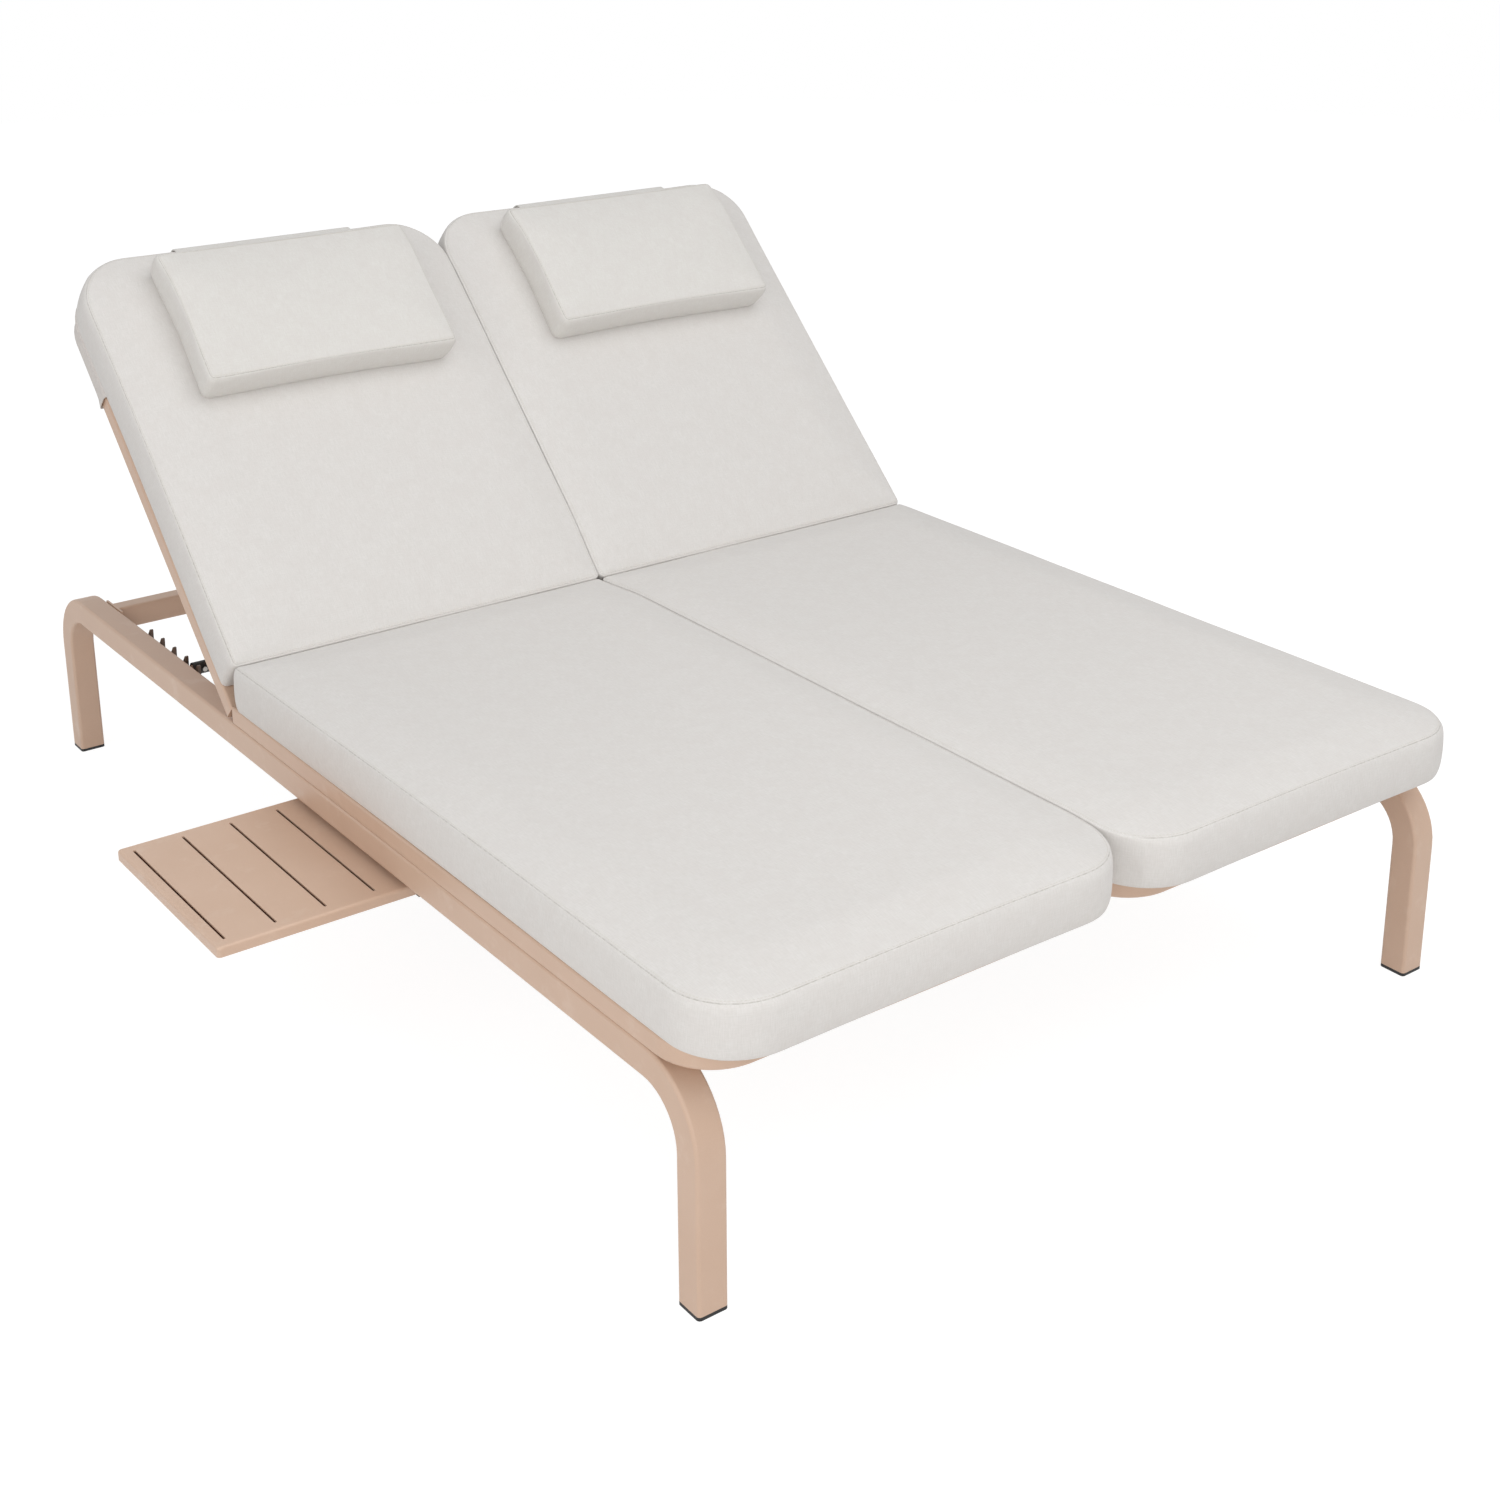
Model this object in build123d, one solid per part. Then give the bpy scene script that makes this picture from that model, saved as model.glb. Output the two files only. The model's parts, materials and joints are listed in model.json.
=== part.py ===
from build123d import *
import math
import os

# Double chaise lounger for a patio or porch. Millimetres, +Z up, +Y towards the head end.
# The origin lies on the floor, midway between the four feet. The side tray comes out at -X.

# Base frame: two bent side tubes, two crossbars and a centre beam
LENGTH = 2000.0
WIDTH = 1320.0
DECK_HEIGHT = 312.0
TUBE = 43.0
TUBE_WALL = 2.0
TUBE_CORNER = 5.0
LEG_BEND = 108.0
FOOT_PAD = 5.0
FOOT_PLUG = 22.0
CROSSBAR_WIDTH = 32.0
CROSSBAR_HEIGHT = 40.0
CROSSBAR_INSET = 162.0
FLANGE_MARGIN = 19.0
FLANGE_THICK = 3.5
BOLT_HEAD = 6.0
BOLT_RISE = 4.0
WASHER_RISE = 1.2
WASHER_LIP = 2.0

# Seat frames: bent bars of flat section that lie on the base, with slats between them
CENTRE_GAP = 8.0
FRAME_BAR = 40.0
FRAME_HEIGHT = 28.0
FRAME_WALL = 2.0
FRAME_CORNER = 4.0
FRAME_BEND = 80.0
BOW_TAIL = 10.0
SEAT_SETBACK = 13.0
END_PLATE = 2.5
SLAT_WIDTH = 48.0
SLAT_THICK = 10.0
SLAT_EDGE = 2.0
SLAT_WALL = 1.5
SEAT_SLATS = 13
BRACE_WIDTH = 36.0

# Backrests, in their lowered pose, and the angle at which they stand
HINGE_FROM_HEAD = 752.0
HINGE_RISE = 17.0
REST_ANGLE = 44.0
BACK_SETBACK = 3.0
BACK_LENGTH = 785.0
BACK_LIFT = 1.0
BACK_SLATS = 9
LOWER_BAR_WIDTH = 30.0

# Hinges between seat frames and backrests
PIN_RADIUS = 5.0
PIN_HEAD = 8.0
PIN_HEAD_RISE = 3.0
EYE_RADIUS = 11.0
EYE_THICK = 6.0
EAR_THICK = 5.0
EYE_RELIEF = 3.0
HINGE_INSET = 40.0

# Stays that prop the backrests, and the racks that hold their feet
STAY_PIVOT_REACH = 249.0
STAY_PIVOT_RISE = 5.3
STAY_FOOT_DROP = 16.5
STAY_LOWERED_DROP = 15.0
STAY_ARM_WIDTH = 20.0
STAY_ARM_THICK = 5.0
STAY_EYE = 9.0
STAY_PIN = 4.0
STAY_PIN_HEAD = 7.0
STAY_BAR_WIDTH = 30.0
STAY_BAR_HEIGHT = 20.0
ROD_RADIUS = 7.0
SLEEVE_RADIUS = 10.7
SLEEVE_LENGTH = 34.0
SCREW_RADIUS = 4.0
SCREW_RISE = 2.5
RACK_THICK = 5.0
RACK_STANDOFF = 4.5
RACK_DEPTH = 50.0
RACK_FLOOR_DROP = 27.5
RACK_TIP_RISE = 3.0
RACK_FOOT_REACH = 192.0
RACK_HEAD_REACH = 512.0
FIRST_TOOTH_REACH = 435.0
TOOTH_PITCH = 50.0
TOOTH_COUNT = 5
TOOTH_TIP = 4.0
TOOTH_RAMP = 26.0
TOOTH_HOOK = 2.0
TEETH_PASSED_COUNT = 3
SPACER_LENGTH = 30.0
SPACER_HEIGHT = 16.0

# Side tray with slots, carried in two runners below the seat
TRAY_REACH = 265.0
TRAY_END_GAP = 78.5
TRAY_WIDTH = 346.0
TRAY_OFFSET = 132.0
TRAY_DROP = 52.0
TRAY_THICK = 15.0
TRAY_SHEET = 2.5
TRAY_EDGE = 4.0
TRAY_CORNER = 6.0
SLOT_WIDTH = 4.0
SLOT_PITCH = 72.0
SLOT_MARGIN = 18.0
RUNNER_WALL = 3.0
RUNNER_GRIP = 14.0
RUNNER_SETBACK = 24.0
HANGER_HEIGHT = 40.0
STOP_LENGTH = 12.0
STOP_DEPTH = 7.0
TIE_WIDTH = 20.0
TIE_THICK = 5.0

# Cushions, head pillows, their straps and the fabric hoods behind the backrests
CUSHION_SIDE = 70.0
CUSHION_CROWN = 12.0
CUSHION_INSET = 5.0
CUSHION_GAP = 3.0
CUSHION_BEND = 80.0
CUSHION_EDGE = 7.0
CUSHION_PULL = 3.0
CUSHION_SHOULDER = 90.0
SEAT_OVERHANG = 35.0
SEAT_CUSHION_SETBACK = 34.0
BACK_CUSHION_START = 42.0
BACK_CUSHION_RISE = 11.0
SQUARE_BEND = 20.0
PILLOW_WIDTH = 446.0
PILLOW_SHIFT = 3.0
PILLOW_DEPTH = 257.0
PILLOW_SETBACK = 35.0
PILLOW_SIDE = 66.0
PILLOW_CROWN = 8.0
PILLOW_SHOULDER = 60.0
PILLOW_BEND = 22.0
STRAP_WIDTH = 322.0
STRAP_THICK = 3.0
STRAP_BACK = 130.0
HOOD_DEPTH = 210.0
HOOD_THICK = 2.5

# Clearances, and the overrun of every cut
FIT = 0.3
PIN_FIT = 0.05
PRESS_FIT = 0.02
SIDE_PLAY = 0.5
OVERRUN = 5.0

# Heights of the crown at its steps, as shares of the crown, and how far in each step lies
CROWN_SHARES = ((0.0, 0.0), (0.1, 0.42), (0.3, 0.72), (0.6, 0.93), (1.0, 1.0))

# Places that follow from the sizes above
OUTER_X = -WIDTH / 2
RAIL_X = OUTER_X + TUBE
RAIL_UNDER = DECK_HEIGHT - TUBE
INNER_X = -CENTRE_GAP / 2
BEAM_X = -TUBE / 2
SEAT_WIDTH = INNER_X - OUTER_X
SEAT_CENTRE = (OUTER_X + INNER_X) / 2
BAY_OUTER = OUTER_X + FRAME_BAR
BAY_INNER = INNER_X - FRAME_BAR
SEAT_TOP = DECK_HEIGHT + FRAME_HEIGHT
SEAT_FRONT = -LENGTH / 2
HINGE_Y = LENGTH / 2 - HINGE_FROM_HEAD
HINGE_Z = DECK_HEIGHT + HINGE_RISE
SEAT_REAR = HINGE_Y - SEAT_SETBACK
BACK_START = HINGE_Y - BACK_SETBACK
BACK_LOW = DECK_HEIGHT + BACK_LIFT
BACK_TOP = BACK_LOW + FRAME_HEIGHT
BACK_END = BACK_START + BACK_LENGTH
BACK_CUSHION_END = BACK_LENGTH + BACK_CUSHION_RISE
PILLOW_END = BACK_LENGTH - PILLOW_SETBACK
PILLOW_START = PILLOW_END - PILLOW_DEPTH
SEAT_CUSHION_REAR = HINGE_Y - SEAT_CUSHION_SETBACK
CUSHION_OUTER = OUTER_X + CUSHION_INSET
CUSHION_INNER = -CUSHION_GAP / 2
CROSSBAR_Y = LENGTH / 2 - CROSSBAR_INSET
HINGE_XS = (BAY_OUTER + HINGE_INSET, BAY_INNER - HINGE_INSET)
HINGE_AXIS = Axis((0, HINGE_Y, HINGE_Z), (1, 0, 0))
RACK_OUTER_X = RAIL_X + RACK_STANDOFF
RACK_INNER_X = BEAM_X - RACK_STANDOFF
ROD_OUTER = RACK_OUTER_X + RACK_THICK + SIDE_PLAY
ROD_INNER = RACK_INNER_X - RACK_THICK - SIDE_PLAY
RACK_FOOT_Y = HINGE_Y + RACK_FOOT_REACH
RACK_HEAD_Y = HINGE_Y + RACK_HEAD_REACH
RACK_BASE = DECK_HEIGHT - RACK_DEPTH
RACK_FLOOR = DECK_HEIGHT - RACK_FLOOR_DROP
RACK_TIP = DECK_HEIGHT + RACK_TIP_RISE
STAY_PIVOT_Y = HINGE_Y + STAY_PIVOT_REACH
STAY_PIVOT_Z = DECK_HEIGHT + STAY_PIVOT_RISE
TRAY_TOP = DECK_HEIGHT - TRAY_DROP
TRAY_FOOT_Y = -TRAY_OFFSET - TRAY_WIDTH / 2
TRAY_HEAD_Y = TRAY_FOOT_Y + TRAY_WIDTH
TRAY_DEPTH = BEAM_X - OUTER_X - TRAY_END_GAP


def tooth_y(index):
    """Place of a rack tooth's upright face, counted from the head end."""
    return HINGE_Y + FIRST_TOOTH_REACH - index * TOOTH_PITCH


STAY_FOOT_Y = tooth_y(TEETH_PASSED_COUNT) - TOOTH_HOOK - SLEEVE_RADIUS - FIT


def block(x0, x1, y0, y1, z0, z1):
    """Box between two corners."""
    middle = ((x0 + x1) / 2, (y0 + y1) / 2, (z0 + z1) / 2)
    return Pos(*middle) * Box(x1 - x0, y1 - y0, z1 - z0)


def lying_bar(x0, x1, y0, y1, z0, z1, corner):
    """Solid bar along X with rounded long edges."""
    bar = block(x0, x1, y0, y1, z0, z1)
    return fillet(bar.edges().filter_by(Axis.X), corner)


def lying_tube(x0, x1, y0, y1, z0, z1, wall, corner):
    """Rectangular tube along X, open at both ends."""
    tube = lying_bar(x0, x1, y0, y1, z0, z1, corner)
    return tube - block(x0 - OVERRUN, x1 + OVERRUN, y0 + wall, y1 - wall, z0 + wall, z1 - wall)


def cylinder_x(x0, x1, y, z, radius):
    """Round bar along X."""
    disc = Plane.YZ.offset(x0) * Pos(y, z) * Circle(radius)
    return extrude(disc, x1 - x0)


def arch_face(half, foot, top, bend):
    """Area below an arch: straight sides from the foot and two round shoulders."""
    shoulder = top - bend
    crown = half - bend
    edges = [
        Line((-half, foot), (-half, shoulder)),
        CenterArc((-crown, shoulder), bend, 180, -90),
        Line((-crown, top), (crown, top)),
        CenterArc((crown, shoulder), bend, 90, -90),
        Line((half, shoulder), (half, foot)),
        Line((half, foot), (-half, foot)),
    ]
    return make_face(edges)


def arch_ring(half, foot, top, bend, width, trim, drop):
    """Outline of a bent tube, trimmed inwards on both sides."""
    outer = arch_face(half - trim, foot - drop, top - trim, bend - trim)
    inset = width - trim
    return outer - arch_face(half - inset, foot - drop - OVERRUN, top - inset, bend - inset)


def bent_tube(half, foot, top, bend, width, depth, wall, corner):
    """Tube bent to an arch in XY, its depth along Z, open at both feet."""
    tube = extrude(arch_ring(half, foot, top, bend, width, 0, 0), depth)
    rims = tube.faces().sort_by(Axis.Z)
    edges = rims[0].edges() + rims[-1].edges()
    long_edges = edges.filter_by(lambda edge: edge.bounding_box().max.Y > foot + FIT)
    tube = fillet(long_edges, corner)
    bore = arch_ring(half, foot, top, bend, width, wall, OVERRUN)
    return tube - Pos(0, 0, wall) * extrude(bore, depth - 2 * wall)


def mirrored(shape, side):
    """The shape as modelled on the left, or its mirror image on the right."""
    if side == "left":
        return shape
    return mirror(shape, about=Plane.YZ)


def raised(shape):
    """A backrest piece turned from its lowered pose to the pose at rest."""
    return shape.rotate(HINGE_AXIS, REST_ANGLE)


def side_frame():
    """Left side tube with its two legs."""
    tube = bent_tube(LENGTH / 2, FOOT_PAD, DECK_HEIGHT, LEG_BEND, TUBE, TUBE, TUBE_WALL, TUBE_CORNER)
    return Plane.YZ.offset(OUTER_X) * tube


def foot_caps():
    """Four plastic caps with plugs that push into the legs."""
    bore = TUBE - 2 * TUBE_WALL - 2 * PRESS_FIT
    pad = fillet(Box(TUBE, TUBE, FOOT_PAD).edges().filter_by(Axis.Z), TUBE_CORNER)
    plug = Pos(0, 0, (FOOT_PAD + FOOT_PLUG) / 2) * Box(bore, bore, FOOT_PLUG)
    cap = Pos(0, 0, FOOT_PAD / 2) * (pad + plug)
    leg_x = (WIDTH - TUBE) / 2
    leg_y = (LENGTH - TUBE) / 2
    return [Pos(x, y, 0) * cap for x in (-leg_x, leg_x) for y in (-leg_y, leg_y)]


def crossbar(y):
    """Crossbar tube between the end plates of the two side frames."""
    end = -RAIL_X - FLANGE_THICK
    low = DECK_HEIGHT - CROSSBAR_HEIGHT
    half = CROSSBAR_WIDTH / 2
    return lying_tube(-end, end, y - half, y + half, low, DECK_HEIGHT, FRAME_WALL, FRAME_CORNER)


def centre_beam():
    """Tube along Y between the two crossbars, below the meeting seat frames."""
    reach = CROSSBAR_Y - CROSSBAR_WIDTH / 2 - FLANGE_THICK
    beam = block(BEAM_X, -BEAM_X, -reach, reach, RAIL_UNDER, DECK_HEIGHT)
    beam = fillet(beam.edges().filter_by(Axis.Y), FRAME_CORNER)
    bore = -BEAM_X - TUBE_WALL
    low = RAIL_UNDER + TUBE_WALL
    return beam - block(-bore, bore, -reach - OVERRUN, reach + OVERRUN, low, DECK_HEIGHT - TUBE_WALL)


def frame_plates():
    """Plates at the ends of the crossbars and of the centre beam."""
    plates = []
    half = CROSSBAR_WIDTH / 2 + FLANGE_MARGIN
    low = DECK_HEIGHT - CROSSBAR_HEIGHT
    for y in (-CROSSBAR_Y, CROSSBAR_Y):
        for x in (RAIL_X, -RAIL_X - FLANGE_THICK):
            plates.append(block(x, x + FLANGE_THICK, y - half, y + half, low, DECK_HEIGHT))
    reach = CROSSBAR_Y - CROSSBAR_WIDTH / 2
    wide = -BEAM_X + FLANGE_MARGIN
    for y in (-reach, reach - FLANGE_THICK):
        plates.append(block(-wide, wide, y, y + FLANGE_THICK, low, DECK_HEIGHT))
    return plates


def bolt(radius, rise):
    """Round bolt head on a washer, standing up from the XY plane."""
    washer = extrude(Circle(radius + WASHER_LIP), WASHER_RISE)
    head = Pos(0, 0, WASHER_RISE) * extrude(Circle(radius), rise)
    top = head.edges().sort_by(Axis.Z)[-1]
    return washer + fillet(top, rise / 2)


def frame_bolts():
    """Bolts beside the crossbars' ends, and beside the beam's ends."""
    bolts = []
    height = DECK_HEIGHT - CROSSBAR_HEIGHT / 2
    step = (CROSSBAR_WIDTH + FLANGE_MARGIN) / 2
    head = bolt(BOLT_HEAD, BOLT_RISE)
    for y in (-CROSSBAR_Y, CROSSBAR_Y):
        for offset in (-step, step):
            bolts.append(Pos(RAIL_X + FLANGE_THICK, y + offset, height) * Rot(0, 90, 0) * head)
            bolts.append(Pos(-RAIL_X - FLANGE_THICK, y + offset, height) * Rot(0, -90, 0) * head)
    reach = CROSSBAR_Y - CROSSBAR_WIDTH / 2 - FLANGE_THICK
    step = -BEAM_X + FLANGE_MARGIN / 2
    for x in (-step, step):
        bolts.append(Pos(x, -reach, height) * Rot(-90, 0, 0) * head)
        bolts.append(Pos(x, reach, height) * Rot(90, 0, 0) * head)
    return bolts


def frame_bars(y0, y1, low):
    """The two straight side bars of a seat or backrest frame."""
    bars = []
    top = low + FRAME_HEIGHT
    for x in (OUTER_X, BAY_INNER):
        bar = block(x, x + FRAME_BAR, y0, y1, low, top)
        bar = fillet(bar.edges().filter_by(Axis.Y), FRAME_CORNER)
        bore0, bore1 = x + FRAME_WALL, x + FRAME_BAR - FRAME_WALL
        bore = block(bore0, bore1, y0 - OVERRUN, y1 + OVERRUN, low + FRAME_WALL, top - FRAME_WALL)
        bars.append(bar - bore)
    return bars


def frame_bow(reach):
    """The bent end of a frame: two round corners and the bar between them, in the XY plane."""
    return bent_tube(SEAT_WIDTH / 2, reach - FRAME_BEND - BOW_TAIL, reach, FRAME_BEND, FRAME_BAR, FRAME_HEIGHT,
                     FRAME_WALL, FRAME_CORNER)


def seat_bars():
    """Side bars of the left seat frame."""
    return frame_bars(SEAT_FRONT + FRAME_BEND + BOW_TAIL, SEAT_REAR - END_PLATE, DECK_HEIGHT)


def seat_bow():
    """Bent foot end of the left seat frame."""
    return Location((SEAT_CENTRE, 0, DECK_HEIGHT), (0, 0, 180)) * frame_bow(-SEAT_FRONT)


def end_plates(y0, low):
    """Plates that close the two open ends of a bent frame."""
    plates = []
    for x in (OUTER_X, BAY_INNER):
        plate = block(x, x + FRAME_BAR, y0, y0 + END_PLATE, low, low + FRAME_HEIGHT)
        plates.append(fillet(plate.edges().filter_by(Axis.Y), FRAME_CORNER))
    return plates


def seat_braces():
    """Crossbars of the left seat frame: one at its open end, one below the slats."""
    rear = lying_tube(BAY_OUTER, BAY_INNER, SEAT_REAR - FRAME_BAR, SEAT_REAR, DECK_HEIGHT, SEAT_TOP,
                      FRAME_WALL, FRAME_CORNER)
    middle_y = (SEAT_FRONT + SEAT_REAR) / 2
    half = BRACE_WIDTH / 2
    top = SEAT_TOP - SLAT_THICK
    middle = lying_tube(BAY_OUTER, BAY_INNER, middle_y - half, middle_y + half, DECK_HEIGHT, top,
                        FRAME_WALL, FRAME_CORNER)
    return [rear, middle]


def slats(first, last, count, top):
    """Flat tubes along X between a frame's two side bars, evenly spaced from first to last."""
    step = (last - first) / (count - 1)
    half = SLAT_WIDTH / 2
    rows = []
    for index in range(count):
        y = first + index * step
        rows.append(lying_tube(BAY_OUTER, BAY_INNER, y - half, y + half, top - SLAT_THICK, top,
                               SLAT_WALL, SLAT_EDGE))
    return rows


def seat_slats():
    """Slats of the left seat."""
    first = SEAT_FRONT + FRAME_BEND + SLAT_WIDTH / 2
    last = SEAT_REAR - FRAME_BAR - SLAT_WIDTH
    return slats(first, last, SEAT_SLATS, SEAT_TOP)


def eye_plate(x0, x1, centre, radius, reach, low, high, hole):
    """Plate across X with a round eye, and a tongue from the eye to y = reach."""
    y, z = centre
    tongue = Pos((y + reach) / 2, (low + high) / 2) * Rectangle(abs(reach - y), high - low)
    face = Pos(y, z) * Circle(radius) + tongue - Pos(y, z) * Circle(hole)
    return extrude(Plane.YZ.offset(x0) * face, x1 - x0)


def hinge_ears():
    """Pairs of ears behind the left seat frame that carry the backrest's hinge pins."""
    ears = []
    inner = EYE_THICK / 2 + SIDE_PLAY
    hole = PIN_RADIUS + PRESS_FIT
    for x in HINGE_XS:
        for x0 in (x - inner - EAR_THICK, x + inner):
            ears.append(eye_plate(x0, x0 + EAR_THICK, (HINGE_Y, HINGE_Z), EYE_RADIUS, SEAT_REAR,
                                  DECK_HEIGHT + FRAME_CORNER, HINGE_Z + EYE_RADIUS, hole))
    return ears


def hinge_pins():
    """Headed pins of the left backrest's hinges, fixed in the ears."""
    pins = []
    half = EYE_THICK / 2 + SIDE_PLAY + EAR_THICK
    for x in HINGE_XS:
        pin = cylinder_x(x - half, x + half, HINGE_Y, HINGE_Z, PIN_RADIUS)
        for x0 in (x - half - PIN_HEAD_RISE, x + half):
            pin += cylinder_x(x0, x0 + PIN_HEAD_RISE, HINGE_Y, HINGE_Z, PIN_HEAD)
        pins.append(pin)
    return pins


def rack_face():
    """Side view of a rack: a strip with ratchet teeth whose upright faces look to the foot end."""
    points = [(RACK_FOOT_Y, RACK_BASE), (RACK_HEAD_Y, RACK_BASE), (RACK_HEAD_Y, RACK_FLOOR)]
    for index in range(TOOTH_COUNT):
        y = tooth_y(index)
        points.append((y + TOOTH_RAMP, RACK_FLOOR))
        points.append((y + TOOTH_TIP - TOOTH_HOOK, RACK_TIP))
        points.append((y - TOOTH_HOOK, RACK_TIP))
        points.append((y, RACK_FLOOR))
    points.append((RACK_FOOT_Y, RACK_FLOOR))
    return make_face(Polyline(*points, close=True))


def racks():
    """Two toothed plates of the left bay, held off the side tube and the beam by spacers."""
    face = rack_face()
    plates = []
    height = (RACK_BASE + RACK_FLOOR) / 2
    half = SPACER_LENGTH / 2
    low = RAIL_UNDER + TUBE_CORNER
    for x0, spacer_x in ((RACK_OUTER_X, RAIL_X), (RACK_INNER_X - RACK_THICK, RACK_INNER_X)):
        plate = extrude(Plane.YZ.offset(x0) * face, RACK_THICK)
        for y in (RACK_FOOT_Y + SPACER_LENGTH, RACK_HEAD_Y - SPACER_LENGTH):
            plate += block(spacer_x, spacer_x + RACK_STANDOFF, y - half, y + half, low, RACK_FLOOR)
        plates.append(plate)
    return plates


def back_bars():
    """Side bars of the left backrest frame in its lowered pose."""
    return frame_bars(BACK_START + END_PLATE, BACK_END - FRAME_BEND - BOW_TAIL, BACK_LOW)


def back_bow():
    """Bent top of the left backrest frame in its lowered pose."""
    return Pos(SEAT_CENTRE, 0, BACK_LOW) * frame_bow(BACK_END)


def lower_bar_y():
    """Face of the backrest's lower crossbar that looks to the hinge."""
    return HINGE_Y + EYE_RADIUS + EYE_RELIEF


def stay_bar_y():
    """Face of the crossbar that carries the stay, on the side of the stay's pivot."""
    return STAY_PIVOT_Y - STAY_EYE - EYE_RELIEF


def back_braces():
    """Crossbars of the left backrest: one by the hinge, one for the stay."""
    low = lower_bar_y()
    lower = lying_tube(BAY_OUTER, BAY_INNER, low, low + LOWER_BAR_WIDTH, BACK_LOW, BACK_TOP,
                       FRAME_WALL, FRAME_CORNER)
    high = stay_bar_y()
    upper = lying_tube(BAY_OUTER, BAY_INNER, high - STAY_BAR_WIDTH, high, BACK_TOP - STAY_BAR_HEIGHT,
                       BACK_TOP, FRAME_WALL, FRAME_CORNER)
    return [lower, upper]


def back_slats():
    """Slats of the left backrest, clear of its two crossbars."""
    first = stay_bar_y() + SLAT_WIDTH
    last = BACK_END - FRAME_BEND - SLAT_WIDTH / 2
    below = (lower_bar_y() + LOWER_BAR_WIDTH + stay_bar_y() - STAY_BAR_WIDTH) / 2
    rows = slats(first, last, BACK_SLATS - 2, BACK_TOP)
    return rows + slats(below - SLAT_WIDTH * 2 / 3, below + SLAT_WIDTH * 2 / 3, 2, BACK_TOP)


def hinge_eyes():
    """Eyes on the lower crossbar of the left backrest that turn on the hinge pins."""
    eyes = []
    half = EYE_THICK / 2
    radius = EYE_RADIUS - SIDE_PLAY
    hole = PIN_RADIUS + PRESS_FIT + PIN_FIT
    for x in HINGE_XS:
        eyes.append(eye_plate(x - half, x + half, (HINGE_Y, HINGE_Z), radius, lower_bar_y(),
                              HINGE_Z - radius, HINGE_Z + radius, hole))
    return eyes


def stay_lug_places():
    """Left edges of the stay's arms and lugs: outer pair, then inner pair."""
    outer_arm = ROD_OUTER + SLEEVE_LENGTH
    inner_arm = ROD_INNER - SLEEVE_LENGTH - STAY_ARM_THICK
    outer_lug = outer_arm + STAY_ARM_THICK + SIDE_PLAY
    inner_lug = inner_arm - SIDE_PLAY - STAY_ARM_THICK
    return (outer_arm, outer_lug), (inner_arm, inner_lug)


def stay_lugs():
    """Lugs on the upper crossbar of the left backrest that carry the stay's pivots."""
    lugs = []
    hole = STAY_PIN + PRESS_FIT
    for arm, lug in stay_lug_places():
        lugs.append(eye_plate(lug, lug + STAY_ARM_THICK, (STAY_PIVOT_Y, STAY_PIVOT_Z), STAY_EYE, stay_bar_y(),
                              STAY_PIVOT_Z - STAY_EYE / 2, BACK_TOP - FRAME_CORNER, hole))
    return lugs


def stay_pins():
    """Headed pivot pins of the left stay, fixed in the lugs."""
    pins = []
    for arm, lug in stay_lug_places():
        low = min(arm, lug) - SIDE_PLAY
        high = max(arm, lug) + STAY_ARM_THICK + SIDE_PLAY
        pin = cylinder_x(low, high, STAY_PIVOT_Y, STAY_PIVOT_Z, STAY_PIN)
        for x0 in (low - PIN_HEAD_RISE, high):
            pin += cylinder_x(x0, x0 + PIN_HEAD_RISE, STAY_PIVOT_Y, STAY_PIVOT_Z, STAY_PIN_HEAD)
        pins.append(pin)
    return pins


def turned(y, z, angle):
    """A point of the lowered backrest, turned about the hinge."""
    along = y - HINGE_Y
    up = z - HINGE_Z
    turn = math.radians(angle)
    return (HINGE_Y + along * math.cos(turn) - up * math.sin(turn),
            HINGE_Z + along * math.sin(turn) + up * math.cos(turn))


def stay_pose():
    """Pivot, length and slope of the stay at rest, and its slope with the backrest lowered."""
    pivot_y, pivot_z = turned(STAY_PIVOT_Y, STAY_PIVOT_Z, REST_ANGLE)
    along = STAY_FOOT_Y - pivot_y
    down = DECK_HEIGHT - STAY_FOOT_DROP - pivot_z
    length = math.hypot(along, down)
    slope = math.degrees(math.atan2(down, along))
    low_z = turned(STAY_PIVOT_Y, STAY_PIVOT_Z, 0)[1]
    low_slope = math.degrees(math.asin((DECK_HEIGHT - STAY_LOWERED_DROP - low_z) / length))
    return (pivot_y, pivot_z), length, slope, low_slope


def in_stay(shape):
    """A stay piece, modelled along +Y from its pivot at the origin, put in place at rest."""
    (pivot_y, pivot_z), length, slope, low_slope = stay_pose()
    return Pos(0, pivot_y, pivot_z) * Rot(slope, 0, 0) * shape


def stay_arms():
    """Two flat arms of the left stay."""
    length = stay_pose()[1]
    half = STAY_ARM_WIDTH / 2
    outline = Pos(length / 2, 0) * Rectangle(length, STAY_ARM_WIDTH)
    outline += Circle(half) + Pos(length, 0) * Circle(half)
    outline -= Circle(STAY_PIN + PRESS_FIT + PIN_FIT)
    outline -= Pos(length, 0) * Circle(ROD_RADIUS + PRESS_FIT)
    arms = []
    for arm, lug in stay_lug_places():
        arms.append(in_stay(extrude(Plane.YZ.offset(arm) * outline, STAY_ARM_THICK)))
    return arms


def stay_rod():
    """Round rod that joins the arms of the left stay and reaches to the two racks."""
    length = stay_pose()[1]
    return in_stay(cylinder_x(ROD_OUTER, ROD_INNER, length, 0, ROD_RADIUS))


def stay_sleeves():
    """Plastic sleeves on the rod's ends, where it lies by the racks."""
    length = stay_pose()[1]
    sleeves = []
    for x0 in (ROD_OUTER, ROD_INNER - SLEEVE_LENGTH):
        sleeve = cylinder_x(x0, x0 + SLEEVE_LENGTH, length, 0, SLEEVE_RADIUS)
        bore = cylinder_x(x0 - OVERRUN, x0 + SLEEVE_LENGTH + OVERRUN, length, 0, ROD_RADIUS + PRESS_FIT)
        sleeves.append(in_stay(sleeve - bore))
    return sleeves


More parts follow.
